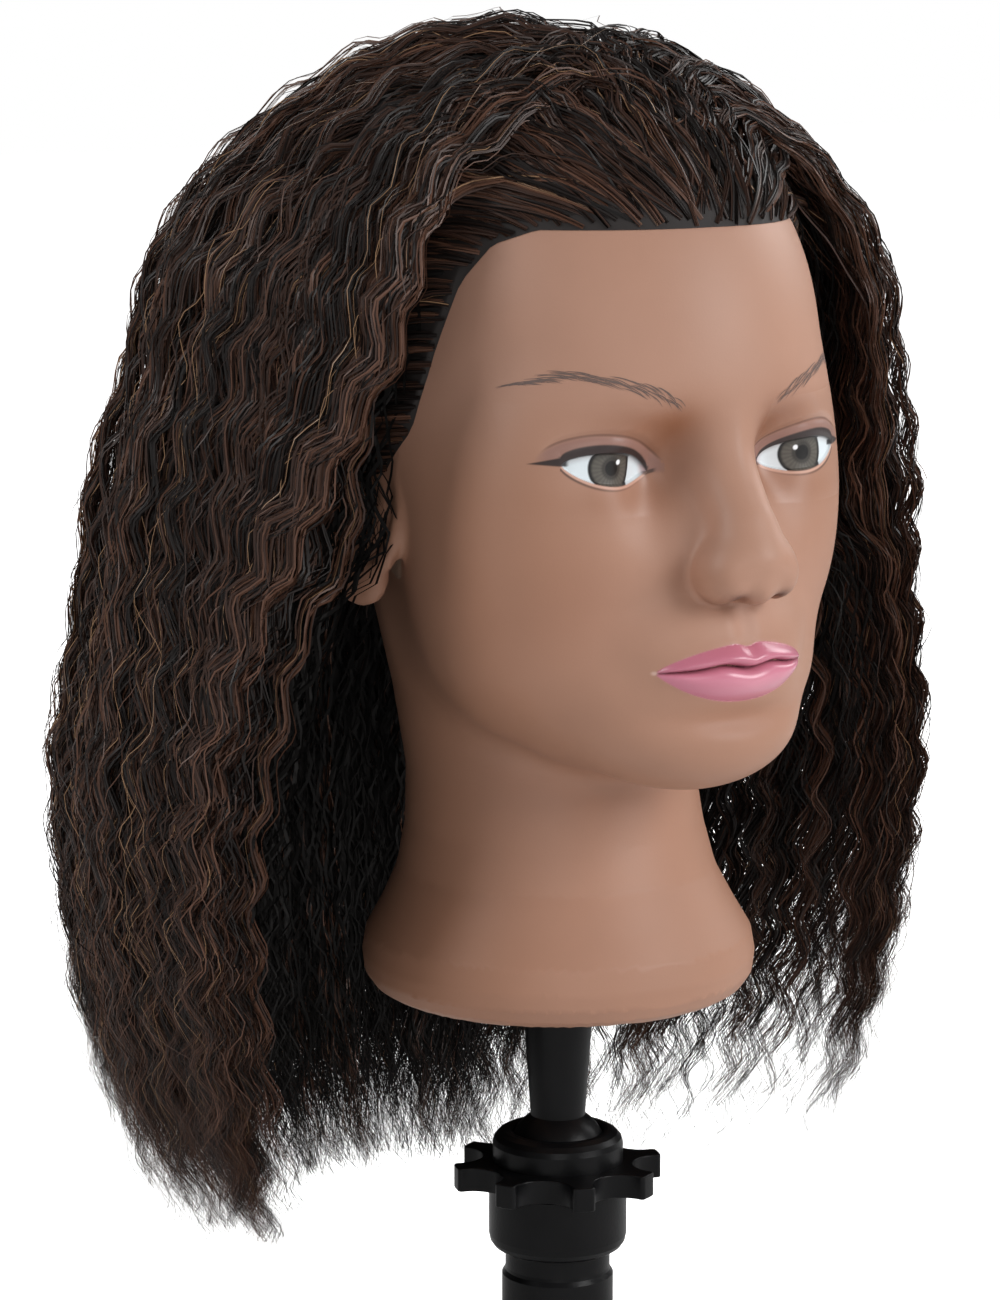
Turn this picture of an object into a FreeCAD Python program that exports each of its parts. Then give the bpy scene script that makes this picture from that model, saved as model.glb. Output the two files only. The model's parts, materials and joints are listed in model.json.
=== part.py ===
import FreeCAD
import Part
import math
import os

# Mannequin training head on a swivel holder.
# Millimetres.  +Z is up, the face looks along -Y, the origin is the mouth of the column bore.

os.makedirs("parts", exist_ok=True)

# ---- column socket -------------------------------------------------------------------------
BORE_R = 12.6                 # takes a 25 mm column tube
BUSH_R = 14.3
BUSH_TOP = 28.0
SLEEVE_BORE_R = 14.4
SLEEVE_R = 17.8
SLEEVE_NECK_R = 16.7
SLEEVE_TOP = 42.0
GRUB_R = 2.5
GRUB_Z = 14.0

# ---- ball housing --------------------------------------------------------------------------
HOUSING_R = 22.0
HOUSING_BOTTOM = 42.1
HOUSING_SHOULDER = 63.2
THREAD_R = 18.4
THREAD_TOP = 74.2
HOUSING_BORE_R = 16.3
HOUSING_FLOOR = 45.2

# ---- ball joint ----------------------------------------------------------------------------
BALL_Z = 72.75
BALL_R = 16.0
RUNNING = 0.05                # clearance of every running fit in the joint
WASHER_THICK = 1.2
WASHER_POLAR = (142.0, 165.0) # measured from straight up
CUP_R = 16.2
CUP_BOTTOM = 50.4
CUP_TOP = 62.4
SPRING_R = 12.6
SPRING_WIRE = 0.8

# ---- pressure ring and lock ring -----------------------------------------------------------
RING_R = 18.3
RING_BOTTOM = 74.6
RING_TOP = 78.2
COLLAR_R = 20.8
COLLAR_TOP = 81.4
OPENING_R = 14.4
LOCK_BOTTOM = 63.5
LOBE_TOP = 71.2
LOBE_TIP_R = 33.5
LOBES = 8
LOBE_START = -18.5            # degrees from the face direction to the first lobe
SCALLOP_R = 9.3

# ---- post and plug -------------------------------------------------------------------------
POST_FOOT_R = 8.7
POST_TOP_R = 12.0
NECK_BOTTOM = 129.0
POST_TOP = 130.6
SPIGOT_R = 7.0
SPIGOT_TOP = 206.0
PLUG_BOTTOM_R = 11.8
PLUG_TOP_R = 10.2
PLUG_BOTTOM = 130.7
PLUG_TOP = 214.0
GRIP_ZS = (150.0, 200.0)
GRIP_WIDTH = 4.0
GROOVE_DEPTH = 1.6
SOCKET_GAP = 0.7
SOCKET_WALL = 2.2
SOCKET_TOP = 221.5

# ---- head ----------------------------------------------------------------------------------
SKIN = 3.6                    # thickness of the vinyl
GAP = 0.3
BASE_R = 50.6                 # disc that closes the neck from below
LINING_GAP = 1.2              # between the vinyl and the foam behind it
CORE = 12.0                   # thickness of the rigid foam lining
CORE_FRONT = -62.0            # the lining stops behind the eyes and the mouth
CORE_BOTTOM = 262.0
SCALP_GAP = 1.0               # between the vinyl and the rooted scalp layer
SCALP = 1.6
HAIR_GAP = 0.9                # between the scalp layer and the hair

# height, front, back, half width and the exponent that squares the section
NECK = [
    (129.0, -55.0, 55.0, 55.0, 2.0),
    (131.0, -58.6, 58.6, 58.6, 2.0),
    (135.0, -61.2, 61.2, 61.2, 2.0),
    (141.0, -62.0, 62.0, 62.0, 2.0),
    (148.0, -60.8, 60.8, 60.8, 2.0),
    (157.0, -55.2, 56.0, 55.6, 2.0),
    (168.0, -48.8, 51.6, 50.2, 2.0),
    (182.0, -44.4, 49.6, 47.0, 2.0),
    (200.0, -40.4, 50.4, 45.4, 2.0),
    (222.0, -34.6, 57.6, 46.0, 2.0),
    (248.0, -27.0, 68.0, 47.6, 2.0),
]
HEAD = [
    (204.6, -80.0, -58.0, 10.0, 2.0),
    (208.0, -89.0, -45.0, 21.0, 2.1),
    (213.0, -95.0, -27.0, 32.0, 2.1),
    (220.0, -98.5, -8.0, 43.0, 2.1),
    (229.0, -98.0, 6.0, 51.5, 2.1),
    (240.0, -97.0, 22.0, 56.5, 2.1),
    (254.0, -96.5, 43.0, 60.5, 2.1),
    (270.0, -95.0, 65.0, 63.2, 2.1),
    (288.0, -94.0, 84.0, 65.5, 2.1),
    (308.0, -94.2, 96.0, 69.8, 2.1),
    (328.0, -94.5, 101.0, 73.6, 2.15),
    (345.0, -91.5, 101.5, 74.6, 2.15),
    (360.0, -86.0, 99.0, 72.6, 2.1),
    (373.0, -79.5, 95.0, 68.6, 2.1),
    (386.0, -70.5, 87.5, 62.4, 2.0),
    (398.0, -58.0, 77.5, 54.0, 2.0),
    (409.0, -41.0, 64.5, 42.6, 2.0),
    (417.0, -21.5, 49.5, 29.4, 2.0),
    (422.0, -4.0, 33.5, 16.0, 2.0),
]

# ---- hair ----------------------------------------------------------------------------------
# height, centre of the outline behind the neck axis, radius of the outline, thickness of the mass
HAIR = [
    (34.0, 36.0, 88.0, 20.0),
    (60.0, 36.0, 102.0, 22.0),
    (90.0, 36.0, 117.0, 24.0),
    (126.0, 35.0, 132.0, 25.0),
    (166.0, 34.0, 141.0, 26.0),
    (200.0, 33.0, 141.0, 26.0),
    (246.0, 31.0, 135.0, 26.0),
    (296.0, 29.0, 127.0, 27.0),
    (346.0, 26.0, 112.0, 26.0),
]
HAIR_TOP = [
    (346.0, 26.0, 112.0),
    (372.0, 22.0, 101.0),
    (396.0, 17.0, 84.0),
    (414.0, 14.0, 62.0),
    (427.0, 12.0, 38.0),
    (433.0, 12.0, 12.0),
]
HAIRLINE_Z = 373.0
FACE_EDGE_Y = -42.0           # the hair at the sides begins here
HAIR_SPLIT = 0.6              # gap left between two zones of hair


def outline(z, front, back, half, power, points=24):
    """Closed smooth curve round one level of the head."""
    widest = front + (back - front) * 0.52
    pts = []
    for i in range(points):
        t = 2.0 * math.pi * i / points
        c = math.cos(t)
        s = math.sin(t)
        x = half * math.copysign(abs(c) ** (2.0 / power), c)
        reach = (back - widest) if s > 0 else (widest - front)
        y = widest + reach * math.copysign(abs(s) ** (2.0 / power), s)
        pts.append(FreeCAD.Vector(x, y, z))
    curve = Part.BSplineCurve()
    curve.interpolate(pts, PeriodicFlag=True)
    return Part.Wire([curve.toShape()])


def between(levels, z, column):
    """One column of the table at any height, curved through the rows without overshooting."""
    k = 0
    while k < len(levels) - 2 and z > levels[k + 1][0]:
        k += 1
    rise = [(levels[i + 1][column] - levels[i][column]) / (levels[i + 1][0] - levels[i][0])
            for i in range(len(levels) - 1)]

    def slope(i):
        below = rise[max(i - 1, 0)]
        above = rise[min(i, len(rise) - 1)]
        return 0.0 if below * above <= 0.0 else 2.0 * below * above / (below + above)

    span = levels[k + 1][0] - levels[k][0]
    t = (z - levels[k][0]) / span
    start = levels[k][column] * (2 * t ** 3 - 3 * t ** 2 + 1) + slope(k) * span * (t ** 3 - 2 * t ** 2 + t)
    return start + levels[k + 1][column] * (3 * t ** 2 - 2 * t ** 3) + slope(k + 1) * span * (t ** 3 - t ** 2)


def lofted(levels, grow=0.0, spacing=8.0):
    """Solid through the levels at even heights, every outline moved out by a distance or in."""
    low = levels[0][0]
    high = levels[-1][0]
    steps = round((high - low) / spacing)
    wires = []
    for i in range(steps + 1):
        z = low + (high - low) * i / steps
        front, back, half, power = (between(levels, z, column) for column in (1, 2, 3, 4))
        if half + grow > 3.0 and back - front + 2.0 * grow > 6.0:
            wires.append(outline(z, front - grow, back + grow, half + grow, power))
    return Part.makeLoft(wires, True, False)


def neck_solid(grow=0.0):
    return lofted(NECK, grow, 4.6)


def head_solid(grow=0.0):
    """Skull, face and jaw, with the crown raised by the same distance."""
    rows = list(HEAD)
    top = rows[-1]
    if grow > 0.0:
        rows[-1] = (top[0] + grow,) + top[1:]
    return lofted(rows, grow)


def circle_loft(levels, grow=0.0):
    """Solid through circles given as height, y of the centre and radius."""
    wires = []
    for z, y, r in levels:
        edge = Part.makeCircle(r + grow, FreeCAD.Vector(0, y, z), FreeCAD.Vector(0, 0, 1))
        wires.append(Part.Wire([edge]))
    return Part.makeLoft(wires, True, False)


def turned(points):
    """Solid of revolution about the Z axis from a closed list of (radius, height)."""
    pts = [FreeCAD.Vector(r, 0, z) for r, z in points]
    pts.append(pts[0])
    face = Part.Face(Part.makePolygon(pts))
    return face.revolve(FreeCAD.Vector(0, 0, 0), FreeCAD.Vector(0, 0, 1), 360)


def cylinder(r, z0, z1):
    return Part.makeCylinder(r, z1 - z0, FreeCAD.Vector(0, 0, z0))


def box(x0, x1, y0, y1, z0, z1):
    return Part.makeBox(x1 - x0, y1 - y0, z1 - z0, FreeCAD.Vector(x0, y0, z0))


def ball(r, z=BALL_Z):
    return Part.makeSphere(r, FreeCAD.Vector(0, 0, z))


def sphere_r(height, r):
    """Radius of a sphere about the joint centre, cut at a height."""
    return math.sqrt(r * r - (height - BALL_Z) ** 2)


def one_solid(shape):
    solids = shape.Solids
    solids.sort(key=lambda s: -s.Volume)
    return solids[0]


def save(name, shape):
    solid = one_solid(shape)
    if not solid.isValid():
        solid.fix(0.01, 0.01, 0.01)
    solid.exportStep("parts/" + name + ".step")
    b = solid.BoundBox
    print("%-18s valid %s  solids %d  volume %9.0f  z %6.1f..%6.1f" % (
        name, solid.isValid(), len(shape.Solids), solid.Volume, b.ZMin, b.ZMax))


# ---- column socket and housing --------------------------------------------------------------
def make_sleeve():
    body = turned([
        (0, 29.0), (SLEEVE_BORE_R, 29.0), (SLEEVE_BORE_R, 0), (SLEEVE_R - 1.2, 0), (SLEEVE_R, 1.2),
        (SLEEVE_R, 34.0), (SLEEVE_R - 0.9, 35.4), (SLEEVE_NECK_R, 36.4), (SLEEVE_NECK_R, SLEEVE_TOP - 0.6),
        (SLEEVE_NECK_R + 0.2, SLEEVE_TOP), (0, SLEEVE_TOP)])
    hole = Part.makeCylinder(GRUB_R + 0.05, 8.0, FreeCAD.Vector(0, SLEEVE_BORE_R - 1.0, GRUB_Z),
                             FreeCAD.Vector(0, 1, 0))
    screw_hole = cylinder(3.05, 30.0, SLEEVE_TOP + 1)
    return body.cut(hole).cut(screw_hole)


def make_bush():
    lip = 0.6
    return turned([(BORE_R, 0.0), (BUSH_R - lip, 0.0), (BUSH_R, lip), (BUSH_R, BUSH_TOP), (BORE_R, BUSH_TOP)])


def make_grub_screw():
    start = SLEEVE_BORE_R + 0.1
    body = Part.makeCylinder(GRUB_R, SLEEVE_R - start - 0.5, FreeCAD.Vector(0, start, GRUB_Z),
                             FreeCAD.Vector(0, 1, 0))
    wires = []
    pts = []
    for i in range(7):
        a = math.radians(60 * i)
        pts.append(FreeCAD.Vector(1.45 * math.cos(a), SLEEVE_R - 2.0, GRUB_Z + 1.45 * math.sin(a)))
    wires.append(Part.makePolygon(pts))
    socket = Part.Face(wires[0]).extrude(FreeCAD.Vector(0, 4, 0))
    return body.cut(socket)


def make_joint_screw():
    shank = cylinder(3.0, 31.0, HOUSING_FLOOR)
    head = cylinder(5.4, HOUSING_FLOOR, HOUSING_FLOOR + 3.6)
    recess = cylinder(2.4, HOUSING_FLOOR + 1.8, HOUSING_FLOOR + 5)
    return shank.fuse(head).cut(recess).removeSplitter()


def make_housing():
    r = HOUSING_R
    z = HOUSING_BOTTOM
    body = turned([
        (3.05, z), (r - 5.2, z), (r - 3.1, z + 0.45), (r - 1.5, z + 1.55), (r - 0.45, z + 3.1), (r, z + 5.2),
        (r, HOUSING_SHOULDER - 0.5), (r - 0.5, HOUSING_SHOULDER), (THREAD_R, HOUSING_SHOULDER),
        (THREAD_R, THREAD_TOP - 0.5), (THREAD_R - 0.5, THREAD_TOP), (HOUSING_BORE_R, THREAD_TOP),
        (HOUSING_BORE_R, HOUSING_FLOOR), (3.05, HOUSING_FLOOR)])
    return body


def make_spring():
    height = CUP_BOTTOM - HOUSING_FLOOR - 2.0 * SPRING_WIRE - 0.4
    turns = 2.0
    helix = Part.makeHelix(height / turns, height, SPRING_R)
    helix.translate(FreeCAD.Vector(0, 0, HOUSING_FLOOR + SPRING_WIRE + 0.2))
    ring = Part.makeCircle(SPRING_WIRE, FreeCAD.Vector(SPRING_R, 0, HOUSING_FLOOR + SPRING_WIRE + 0.2),
                           FreeCAD.Vector(0, 1, 0))
    return Part.Wire(helix.Edges).makePipeShell([Part.Wire([ring])], True, True)


def make_cup():
    body = cylinder(CUP_R, CUP_BOTTOM, CUP_TOP)
    socket = ball(BALL_R + WASHER_THICK + 2.0 * RUNNING)
    return body.cut(socket).cut(cylinder(6.5, CUP_BOTTOM - 1, CUP_TOP))


def make_slip_washer():
    outer = ball(BALL_R + WASHER_THICK + RUNNING)
    inner = ball(BALL_R + RUNNING)
    shell = outer.cut(inner)
    start, end = (math.radians(a) for a in WASHER_POLAR)
    reach = 40.0
    profile = [(0, BALL_Z), (reach * math.sin(start), BALL_Z + reach * math.cos(start)),
               (reach * math.sin(end), BALL_Z + reach * math.cos(end))]
    return shell.common(turned(profile))


# ---- pressure ring and lock ring ------------------------------------------------------------
def make_pressure_ring():
    body = cylinder(RING_R, RING_BOTTOM, RING_TOP)
    return body.cut(ball(BALL_R + RUNNING))


def make_lock_ring():
    collar = turned([
        (THREAD_R + 0.15, LOCK_BOTTOM), (COLLAR_R, LOCK_BOTTOM), (COLLAR_R, COLLAR_TOP - 4.4),
        (COLLAR_R - 0.5, COLLAR_TOP - 2.6), (COLLAR_R - 1.8, COLLAR_TOP - 1.1),
        (COLLAR_R - 3.6, COLLAR_TOP - 0.2), (COLLAR_R - 5.0, COLLAR_TOP),
        (OPENING_R + 0.3, COLLAR_TOP - 0.4), (OPENING_R, COLLAR_TOP - 1.0),
        (sphere_r(RING_TOP + 0.1, BALL_R + 0.35), RING_TOP + 0.1),
        (THREAD_R + 0.15, RING_TOP + 0.1)])
    star = cylinder(LOBE_TIP_R, LOCK_BOTTOM, LOBE_TOP)
    star = star.cut(cylinder(COLLAR_R - 1.0, LOCK_BOTTOM - 1, LOBE_TOP + 1))
    for k in range(LOBES):
        a = math.radians(LOBE_START + 360.0 / LOBES * (k + 0.5))
        mid = FreeCAD.Vector(math.sin(a) * LOBE_TIP_R, -math.cos(a) * LOBE_TIP_R, LOCK_BOTTOM - 1)
        star = star.cut(Part.makeCylinder(SCALLOP_R, LOBE_TOP - LOCK_BOTTOM + 2, mid))
    upright = [e for e in star.Edges if e.BoundBox.ZLength > 5 and
               math.hypot(e.CenterOfMass.x, e.CenterOfMass.y) > LOBE_TIP_R - 1.0]
    star = star.makeFillet(1.3, upright)
    rims = [e for e in star.Edges if e.BoundBox.ZLength < 0.01 and
            math.hypot(e.BoundBox.Center.x, e.BoundBox.Center.y) > 15.0]
    star = star.makeFillet(0.5, rims)
    return collar.fuse(star).removeSplitter()


# ---- ball, post and plug --------------------------------------------------------------------
def make_ball_post():
    foot = BALL_Z + 8.0
    post = turned([(0, foot), (POST_FOOT_R, foot), (POST_FOOT_R, BALL_Z + 13.6), (POST_TOP_R - 0.35, POST_TOP - 1.6),
                   (POST_TOP_R - 0.5, POST_TOP), (SPIGOT_R, POST_TOP), (SPIGOT_R, SPIGOT_TOP), (0, SPIGOT_TOP)])
    flat = cylinder(30.0, BALL_Z - 40.0, BALL_Z - BALL_R + 0.9)
    body = ball(BALL_R).cut(flat).fuse(post)
    return body.cut(cylinder(3.0, 170.0, SPIGOT_TOP + 1)).removeSplitter()


def plug_r(z):
    k = (z - PLUG_BOTTOM) / (PLUG_TOP - PLUG_BOTTOM)
    return PLUG_BOTTOM_R + (PLUG_TOP_R - PLUG_BOTTOM_R) * k


def make_plug():
    pts = [(SPIGOT_R + 0.05, PLUG_BOTTOM), (PLUG_BOTTOM_R, PLUG_BOTTOM)]
    for z in GRIP_ZS:
        low = z - GRIP_WIDTH / 2.0
        high = z + GRIP_WIDTH / 2.0
        deep = plug_r(z) - GROOVE_DEPTH
        pts += [(plug_r(low), low), (deep, low), (deep, high), (plug_r(high), high)]
    pts += [(PLUG_TOP_R, PLUG_TOP - 1.0), (PLUG_TOP_R - 1.0, PLUG_TOP), (3.1, PLUG_TOP), (3.1, SPIGOT_TOP + 0.1),
            (SPIGOT_R + 0.05, SPIGOT_TOP + 0.1)]
    return turned(pts)


def make_plug_washer():
    return turned([(3.1, PLUG_TOP), (8.6, PLUG_TOP), (8.6, PLUG_TOP + 1.4), (3.1, PLUG_TOP + 1.4)])


def make_plug_screw():
    top = PLUG_TOP + 1.4
    shank = cylinder(2.95, 176.0, top)
    head = turned([(0, top), (5.6, top), (5.6, top + 2.4), (4.2, top + 3.6), (0, top + 3.9)])
    cross = box(-2.6, 2.6, -0.5, 0.5, top + 1.8, top + 6).fuse(box(-0.5, 0.5, -2.6, 2.6, top + 1.8, top + 6))
    return shank.fuse(head).cut(cross).removeSplitter()


def make_grip_ring(z):
    inner = plug_r(z) - GROOVE_DEPTH + RUNNING
    outer = plug_r(z) + SOCKET_GAP - RUNNING
    half = GRIP_WIDTH / 2.0 - 0.1
    edge = 0.5
    return turned([(inner, z - half), (outer - edge, z - half), (outer, z - half + edge),
                   (outer, z + half - edge - 0.3), (outer - edge, z + half), (inner, z + half)])


def socket_r(z):
    return plug_r(z) + SOCKET_GAP


def make_neck_socket():
    low = NECK_BOTTOM + 1.4
    roof = SOCKET_TOP - 1.8
    pts = [(socket_r(low) + 0.6, low), (socket_r(low) + 5.0, low), (socket_r(low) + 5.0, low + 1.6),
           (socket_r(low) + SOCKET_WALL, low + 2.4), (socket_r(PLUG_TOP) + SOCKET_WALL, SOCKET_TOP - 1.0),
           (socket_r(PLUG_TOP) + SOCKET_WALL - 1.0, SOCKET_TOP), (0, SOCKET_TOP), (0, roof),
           (socket_r(PLUG_TOP), roof), (socket_r(PLUG_TOP), PLUG_TOP)]
    for z in (GRIP_ZS[1], GRIP_ZS[0], low + 2.0):
        pts.append((socket_r(z), z))
    return turned(pts)


# ---- head -----------------------------------------------------------------------------------
def make_nose():
    levels = [(262.0, -98.0, -88.0, 9.0), (265.5, -107.0, -86.0, 15.5), (270.0, -114.5, -84.0, 17.0),
              (277.0, -118.0, -84.0, 14.0), (286.0, -113.0, -84.0, 9.5), (300.0, -103.0, -82.0, 7.4),
              (314.0, -96.5, -82.0, 8.0)]
    wires = [outline(z, f, b, h, 2.0, 20) for z, f, b, h in levels]
    return Part.makeLoft(wires, True, False)


def make_lips():
    lips = Part.makeSphere(10.0)
    m = FreeCAD.Matrix()
    m.scale(2.45, 1.0, 0.95)
    lips = lips.transformGeometry(m)
    lips.translate(FreeCAD.Vector(0, -93.5, 246.0))
    return lips


def make_ear(side):
    shell = Part.makeSphere(10.0)
    m = FreeCAD.Matrix()
    m.scale(0.55, 1.55, 2.85)
    shell = shell.transformGeometry(m)
    shell.rotate(FreeCAD.Vector(0, 0, 0), FreeCAD.Vector(1, 0, 0), -12)
    shell.rotate(FreeCAD.Vector(0, 0, 0), FreeCAD.Vector(0, 0, 1), -24 * side)
    shell.translate(FreeCAD.Vector(66.0 * side, 7.0, 288.0))
    return shell


def make_face_skin():
    outer = neck_solid().fuse(head_solid()).fuse(make_nose()).fuse(make_lips())
    for side in (-1, 1):
        outer = outer.fuse(make_ear(side))
    roof = box(-120, 120, -130, 130, HEAD[-1][0] - SKIN, HEAD[-1][0] + 9.0)
    floor = box(-60, 60, -130, -NECK[-3][3] - 4.0, 190.0, HEAD[0][0] + SKIN)
    neck_mouth = cylinder(BASE_R + GAP, NECK_BOTTOM - 4.0, NECK_BOTTOM + 6.0)
    head_hollow = head_solid(-SKIN).cut(roof).cut(floor)
    return outer.cut(head_hollow).cut(neck_solid(-SKIN).fuse(neck_mouth))


def make_head_core():
    shell = head_solid(-SKIN - LINING_GAP).cut(head_solid(-SKIN - LINING_GAP - CORE))
    return shell.common(box(-120, 120, CORE_FRONT, 130, CORE_BOTTOM, HEAD[-1][0] - SKIN - LINING_GAP))


def make_neck_foam():
    body = neck_solid(-SKIN - LINING_GAP)
    body = body.common(box(-90, 90, -90, 90, 138.0, 220.0))
    return body.cut(cylinder(socket_r(PLUG_BOTTOM) + SOCKET_WALL + 0.4, 100, 223.0))


def make_neck_base():
    disc = cylinder(BASE_R, NECK_BOTTOM + 1.4, NECK_BOTTOM + 5.4)
    return disc.cut(cylinder(socket_r(NECK_BOTTOM) + 5.6, 120, 140))


def make_scalp_cap():
    rear = box(-150, 150, FACE_EDGE_Y + 4, 150, 262.0, 460)
    lid = box(-150, 150, -150, 150, HAIRLINE_Z + 1.5, 460)
    ears = box(-120, 120, -30, 34, 240, 326)
    covered = rear.fuse(lid).cut(ears)
    return head_solid(SCALP_GAP + SCALP).common(covered).cut(head_solid(SCALP_GAP))


def make_hair():
    """Every zone of hair as one closed solid, cut from one mass."""
    zones = {}
    top = circle_loft(HAIR_TOP)
    skull = head_solid(SCALP_GAP + SCALP + HAIR_GAP)
    cap = top.cut(skull)
    half = HAIR_SPLIT / 2.0
    zones["hair_front"] = cap.common(box(-150, 150, -60, -20 - half, HAIRLINE_Z + half, 440))
    zones["hair_crown"] = cap.common(box(-150, 150, -20 + half, 150, HAIRLINE_Z + half, 440))

    outer = circle_loft([(z, y, r) for z, y, r, t in HAIR] + [(HAIRLINE_Z, 22.0, 101.0)])
    inner = circle_loft([(z, y, r - t) for z, y, r, t in HAIR] + [(HAIRLINE_Z, 22.0, 79.0)])
    mass = outer.cut(inner).cut(skull)
    low_zones = {
        "hair_side_right": (-200, -half, FACE_EDGE_Y, 22.0, 44.0),
        "hair_rear_right": (-200, -52.0 - half, 22.0 + HAIR_SPLIT, 200, 36.0),
        "hair_nape": (-52.0 + half, 52.0 - half, 22.0 + HAIR_SPLIT, 250, 58.0),
        "hair_rear_left": (52.0 + half, 200, 22.0 + HAIR_SPLIT, 200, 74.0),
        "hair_side_left": (half, 200, FACE_EDGE_Y, 22.0, 92.0),
    }
    for name, (x0, x1, y0, y1, z0) in low_zones.items():
        zones[name] = mass.common(box(x0, x1, y0, y1, z0, HAIRLINE_Z - half))
    return zones


save("sleeve", make_sleeve())
save("tube_bush", make_bush())
save("grub_screw", make_grub_screw())
save("joint_screw", make_joint_screw())
save("housing", make_housing())
save("seat_spring", make_spring())
save("seat_cup", make_cup())
save("slip_washer", make_slip_washer())
save("pressure_ring", make_pressure_ring())
save("lock_ring", make_lock_ring())
save("ball_post", make_ball_post())
save("plug", make_plug())
save("plug_washer", make_plug_washer())
save("plug_screw", make_plug_screw())
save("grip_ring_lower", make_grip_ring(GRIP_ZS[0]))
save("grip_ring_upper", make_grip_ring(GRIP_ZS[1]))
save("neck_socket", make_neck_socket())
save("neck_base", make_neck_base())
save("neck_foam", make_neck_foam())
save("head_core", make_head_core())
save("face_skin", make_face_skin())
save("scalp_cap", make_scalp_cap())
for zone, solid in make_hair().items():
    save(zone, solid)
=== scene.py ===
import bpy
import json
import math
import numpy as np
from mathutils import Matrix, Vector


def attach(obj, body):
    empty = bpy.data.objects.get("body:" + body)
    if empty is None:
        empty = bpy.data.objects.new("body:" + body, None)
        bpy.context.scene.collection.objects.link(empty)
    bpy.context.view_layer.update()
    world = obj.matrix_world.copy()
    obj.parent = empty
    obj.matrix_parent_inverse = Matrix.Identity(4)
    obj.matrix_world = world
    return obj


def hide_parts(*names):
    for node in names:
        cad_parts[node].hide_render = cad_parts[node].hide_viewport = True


# Mannequin training head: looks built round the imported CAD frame.
# Shapes are worked out in millimetres in the CAD frame and turned into metres when a mesh is made.

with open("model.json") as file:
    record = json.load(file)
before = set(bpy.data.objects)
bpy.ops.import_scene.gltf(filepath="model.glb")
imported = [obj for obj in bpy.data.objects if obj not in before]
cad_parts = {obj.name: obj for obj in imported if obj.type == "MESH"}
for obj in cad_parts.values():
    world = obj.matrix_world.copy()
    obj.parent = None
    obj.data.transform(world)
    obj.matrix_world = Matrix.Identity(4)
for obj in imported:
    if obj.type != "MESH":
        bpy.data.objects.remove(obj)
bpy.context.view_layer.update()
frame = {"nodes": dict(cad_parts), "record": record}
MM = 0.001
rng = np.random.default_rng(20)


# ---- meshes and materials ---------------------------------------------------------------------
def mesh_object(name, verts_mm, faces, body, material, smooth=True):
    """One mesh piece from vertices in millimetres, riding on a CAD body.  All faces have the same
    number of corners, or faces is a list of such arrays."""
    groups = faces if isinstance(faces, list) else [faces]
    groups = [np.asarray(g, np.int32) for g in groups if len(g)]
    mesh = bpy.data.meshes.new(name)
    verts = np.asarray(verts_mm, np.float64) * MM
    mesh.vertices.add(len(verts))
    mesh.vertices.foreach_set("co", verts.astype(np.float32).ravel())
    corners = np.concatenate([g.ravel() for g in groups])
    sizes = np.concatenate([np.full(len(g), g.shape[1], np.int32) for g in groups])
    starts = np.concatenate([[0], np.cumsum(sizes)[:-1]]).astype(np.int32)
    mesh.loops.add(len(corners))
    mesh.loops.foreach_set("vertex_index", corners)
    mesh.polygons.add(len(sizes))
    mesh.polygons.foreach_set("loop_start", starts)
    mesh.polygons.foreach_set("use_smooth", np.full(len(sizes), smooth))
    mesh.update(calc_edges=True)
    mesh.validate()
    materials = material if isinstance(material, list) else [material]
    for m in materials:
        mesh.materials.append(m)
    obj = bpy.data.objects.new(name, mesh)
    bpy.context.scene.collection.objects.link(obj)
    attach(obj, body)
    return obj


def paint_vertices(obj, colours):
    """Stores one linear colour a vertex, which the material reads by name."""
    layer = obj.data.color_attributes.new("paint", "FLOAT_COLOR", "POINT")
    rgba = np.ones((len(colours), 4), np.float32)
    rgba[:, :3] = colours
    layer.data.foreach_set("color", rgba.ravel())


def linear(r, g, b):
    """A screen colour from 0 to 255 as the linear colour that shaders take."""
    out = []
    for v in (r, g, b):
        v = v / 255.0
        out.append(v / 12.92 if v <= 0.04045 else ((v + 0.055) / 1.055) ** 2.4)
    return np.array(out)


def plain_material(name, colour, roughness, **sockets):
    m = bpy.data.materials.new(name)
    m.use_nodes = True
    shader = m.node_tree.nodes["Principled BSDF"]
    shader.inputs["Base Color"].default_value = (*colour, 1.0)
    shader.inputs["Roughness"].default_value = roughness
    for key, value in sockets.items():
        shader.inputs[key.replace("_", " ")].default_value = value
    return m


def mottled_material(name, dark, light, roughness, scale, bump=0.0, bump_scale=400.0, **sockets):
    """Two shades mixed by a soft noise, with an optional fine grain."""
    m = plain_material(name, dark, roughness, **sockets)
    tree = m.node_tree
    shader = tree.nodes["Principled BSDF"]
    place = tree.nodes.new("ShaderNodeTexCoord")
    noise = tree.nodes.new("ShaderNodeTexNoise")
    noise.inputs["Scale"].default_value = scale
    noise.inputs["Detail"].default_value = 4.0
    ramp = tree.nodes.new("ShaderNodeValToRGB")
    ramp.color_ramp.elements[0].position = 0.35
    ramp.color_ramp.elements[0].color = (*dark, 1.0)
    ramp.color_ramp.elements[1].position = 0.65
    ramp.color_ramp.elements[1].color = (*light, 1.0)
    tree.links.new(place.outputs["Object"], noise.inputs["Vector"])
    tree.links.new(noise.outputs["Fac"], ramp.inputs["Fac"])
    tree.links.new(ramp.outputs["Color"], shader.inputs["Base Color"])
    if bump:
        grain = tree.nodes.new("ShaderNodeTexNoise")
        grain.inputs["Scale"].default_value = bump_scale
        bumps = tree.nodes.new("ShaderNodeBump")
        bumps.inputs["Strength"].default_value = bump
        bumps.inputs["Distance"].default_value = 0.0003
        tree.links.new(place.outputs["Object"], grain.inputs["Vector"])
        tree.links.new(grain.outputs["Fac"], bumps.inputs["Height"])
        tree.links.new(bumps.outputs["Normal"], shader.inputs["Normal"])
    return m


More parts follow.
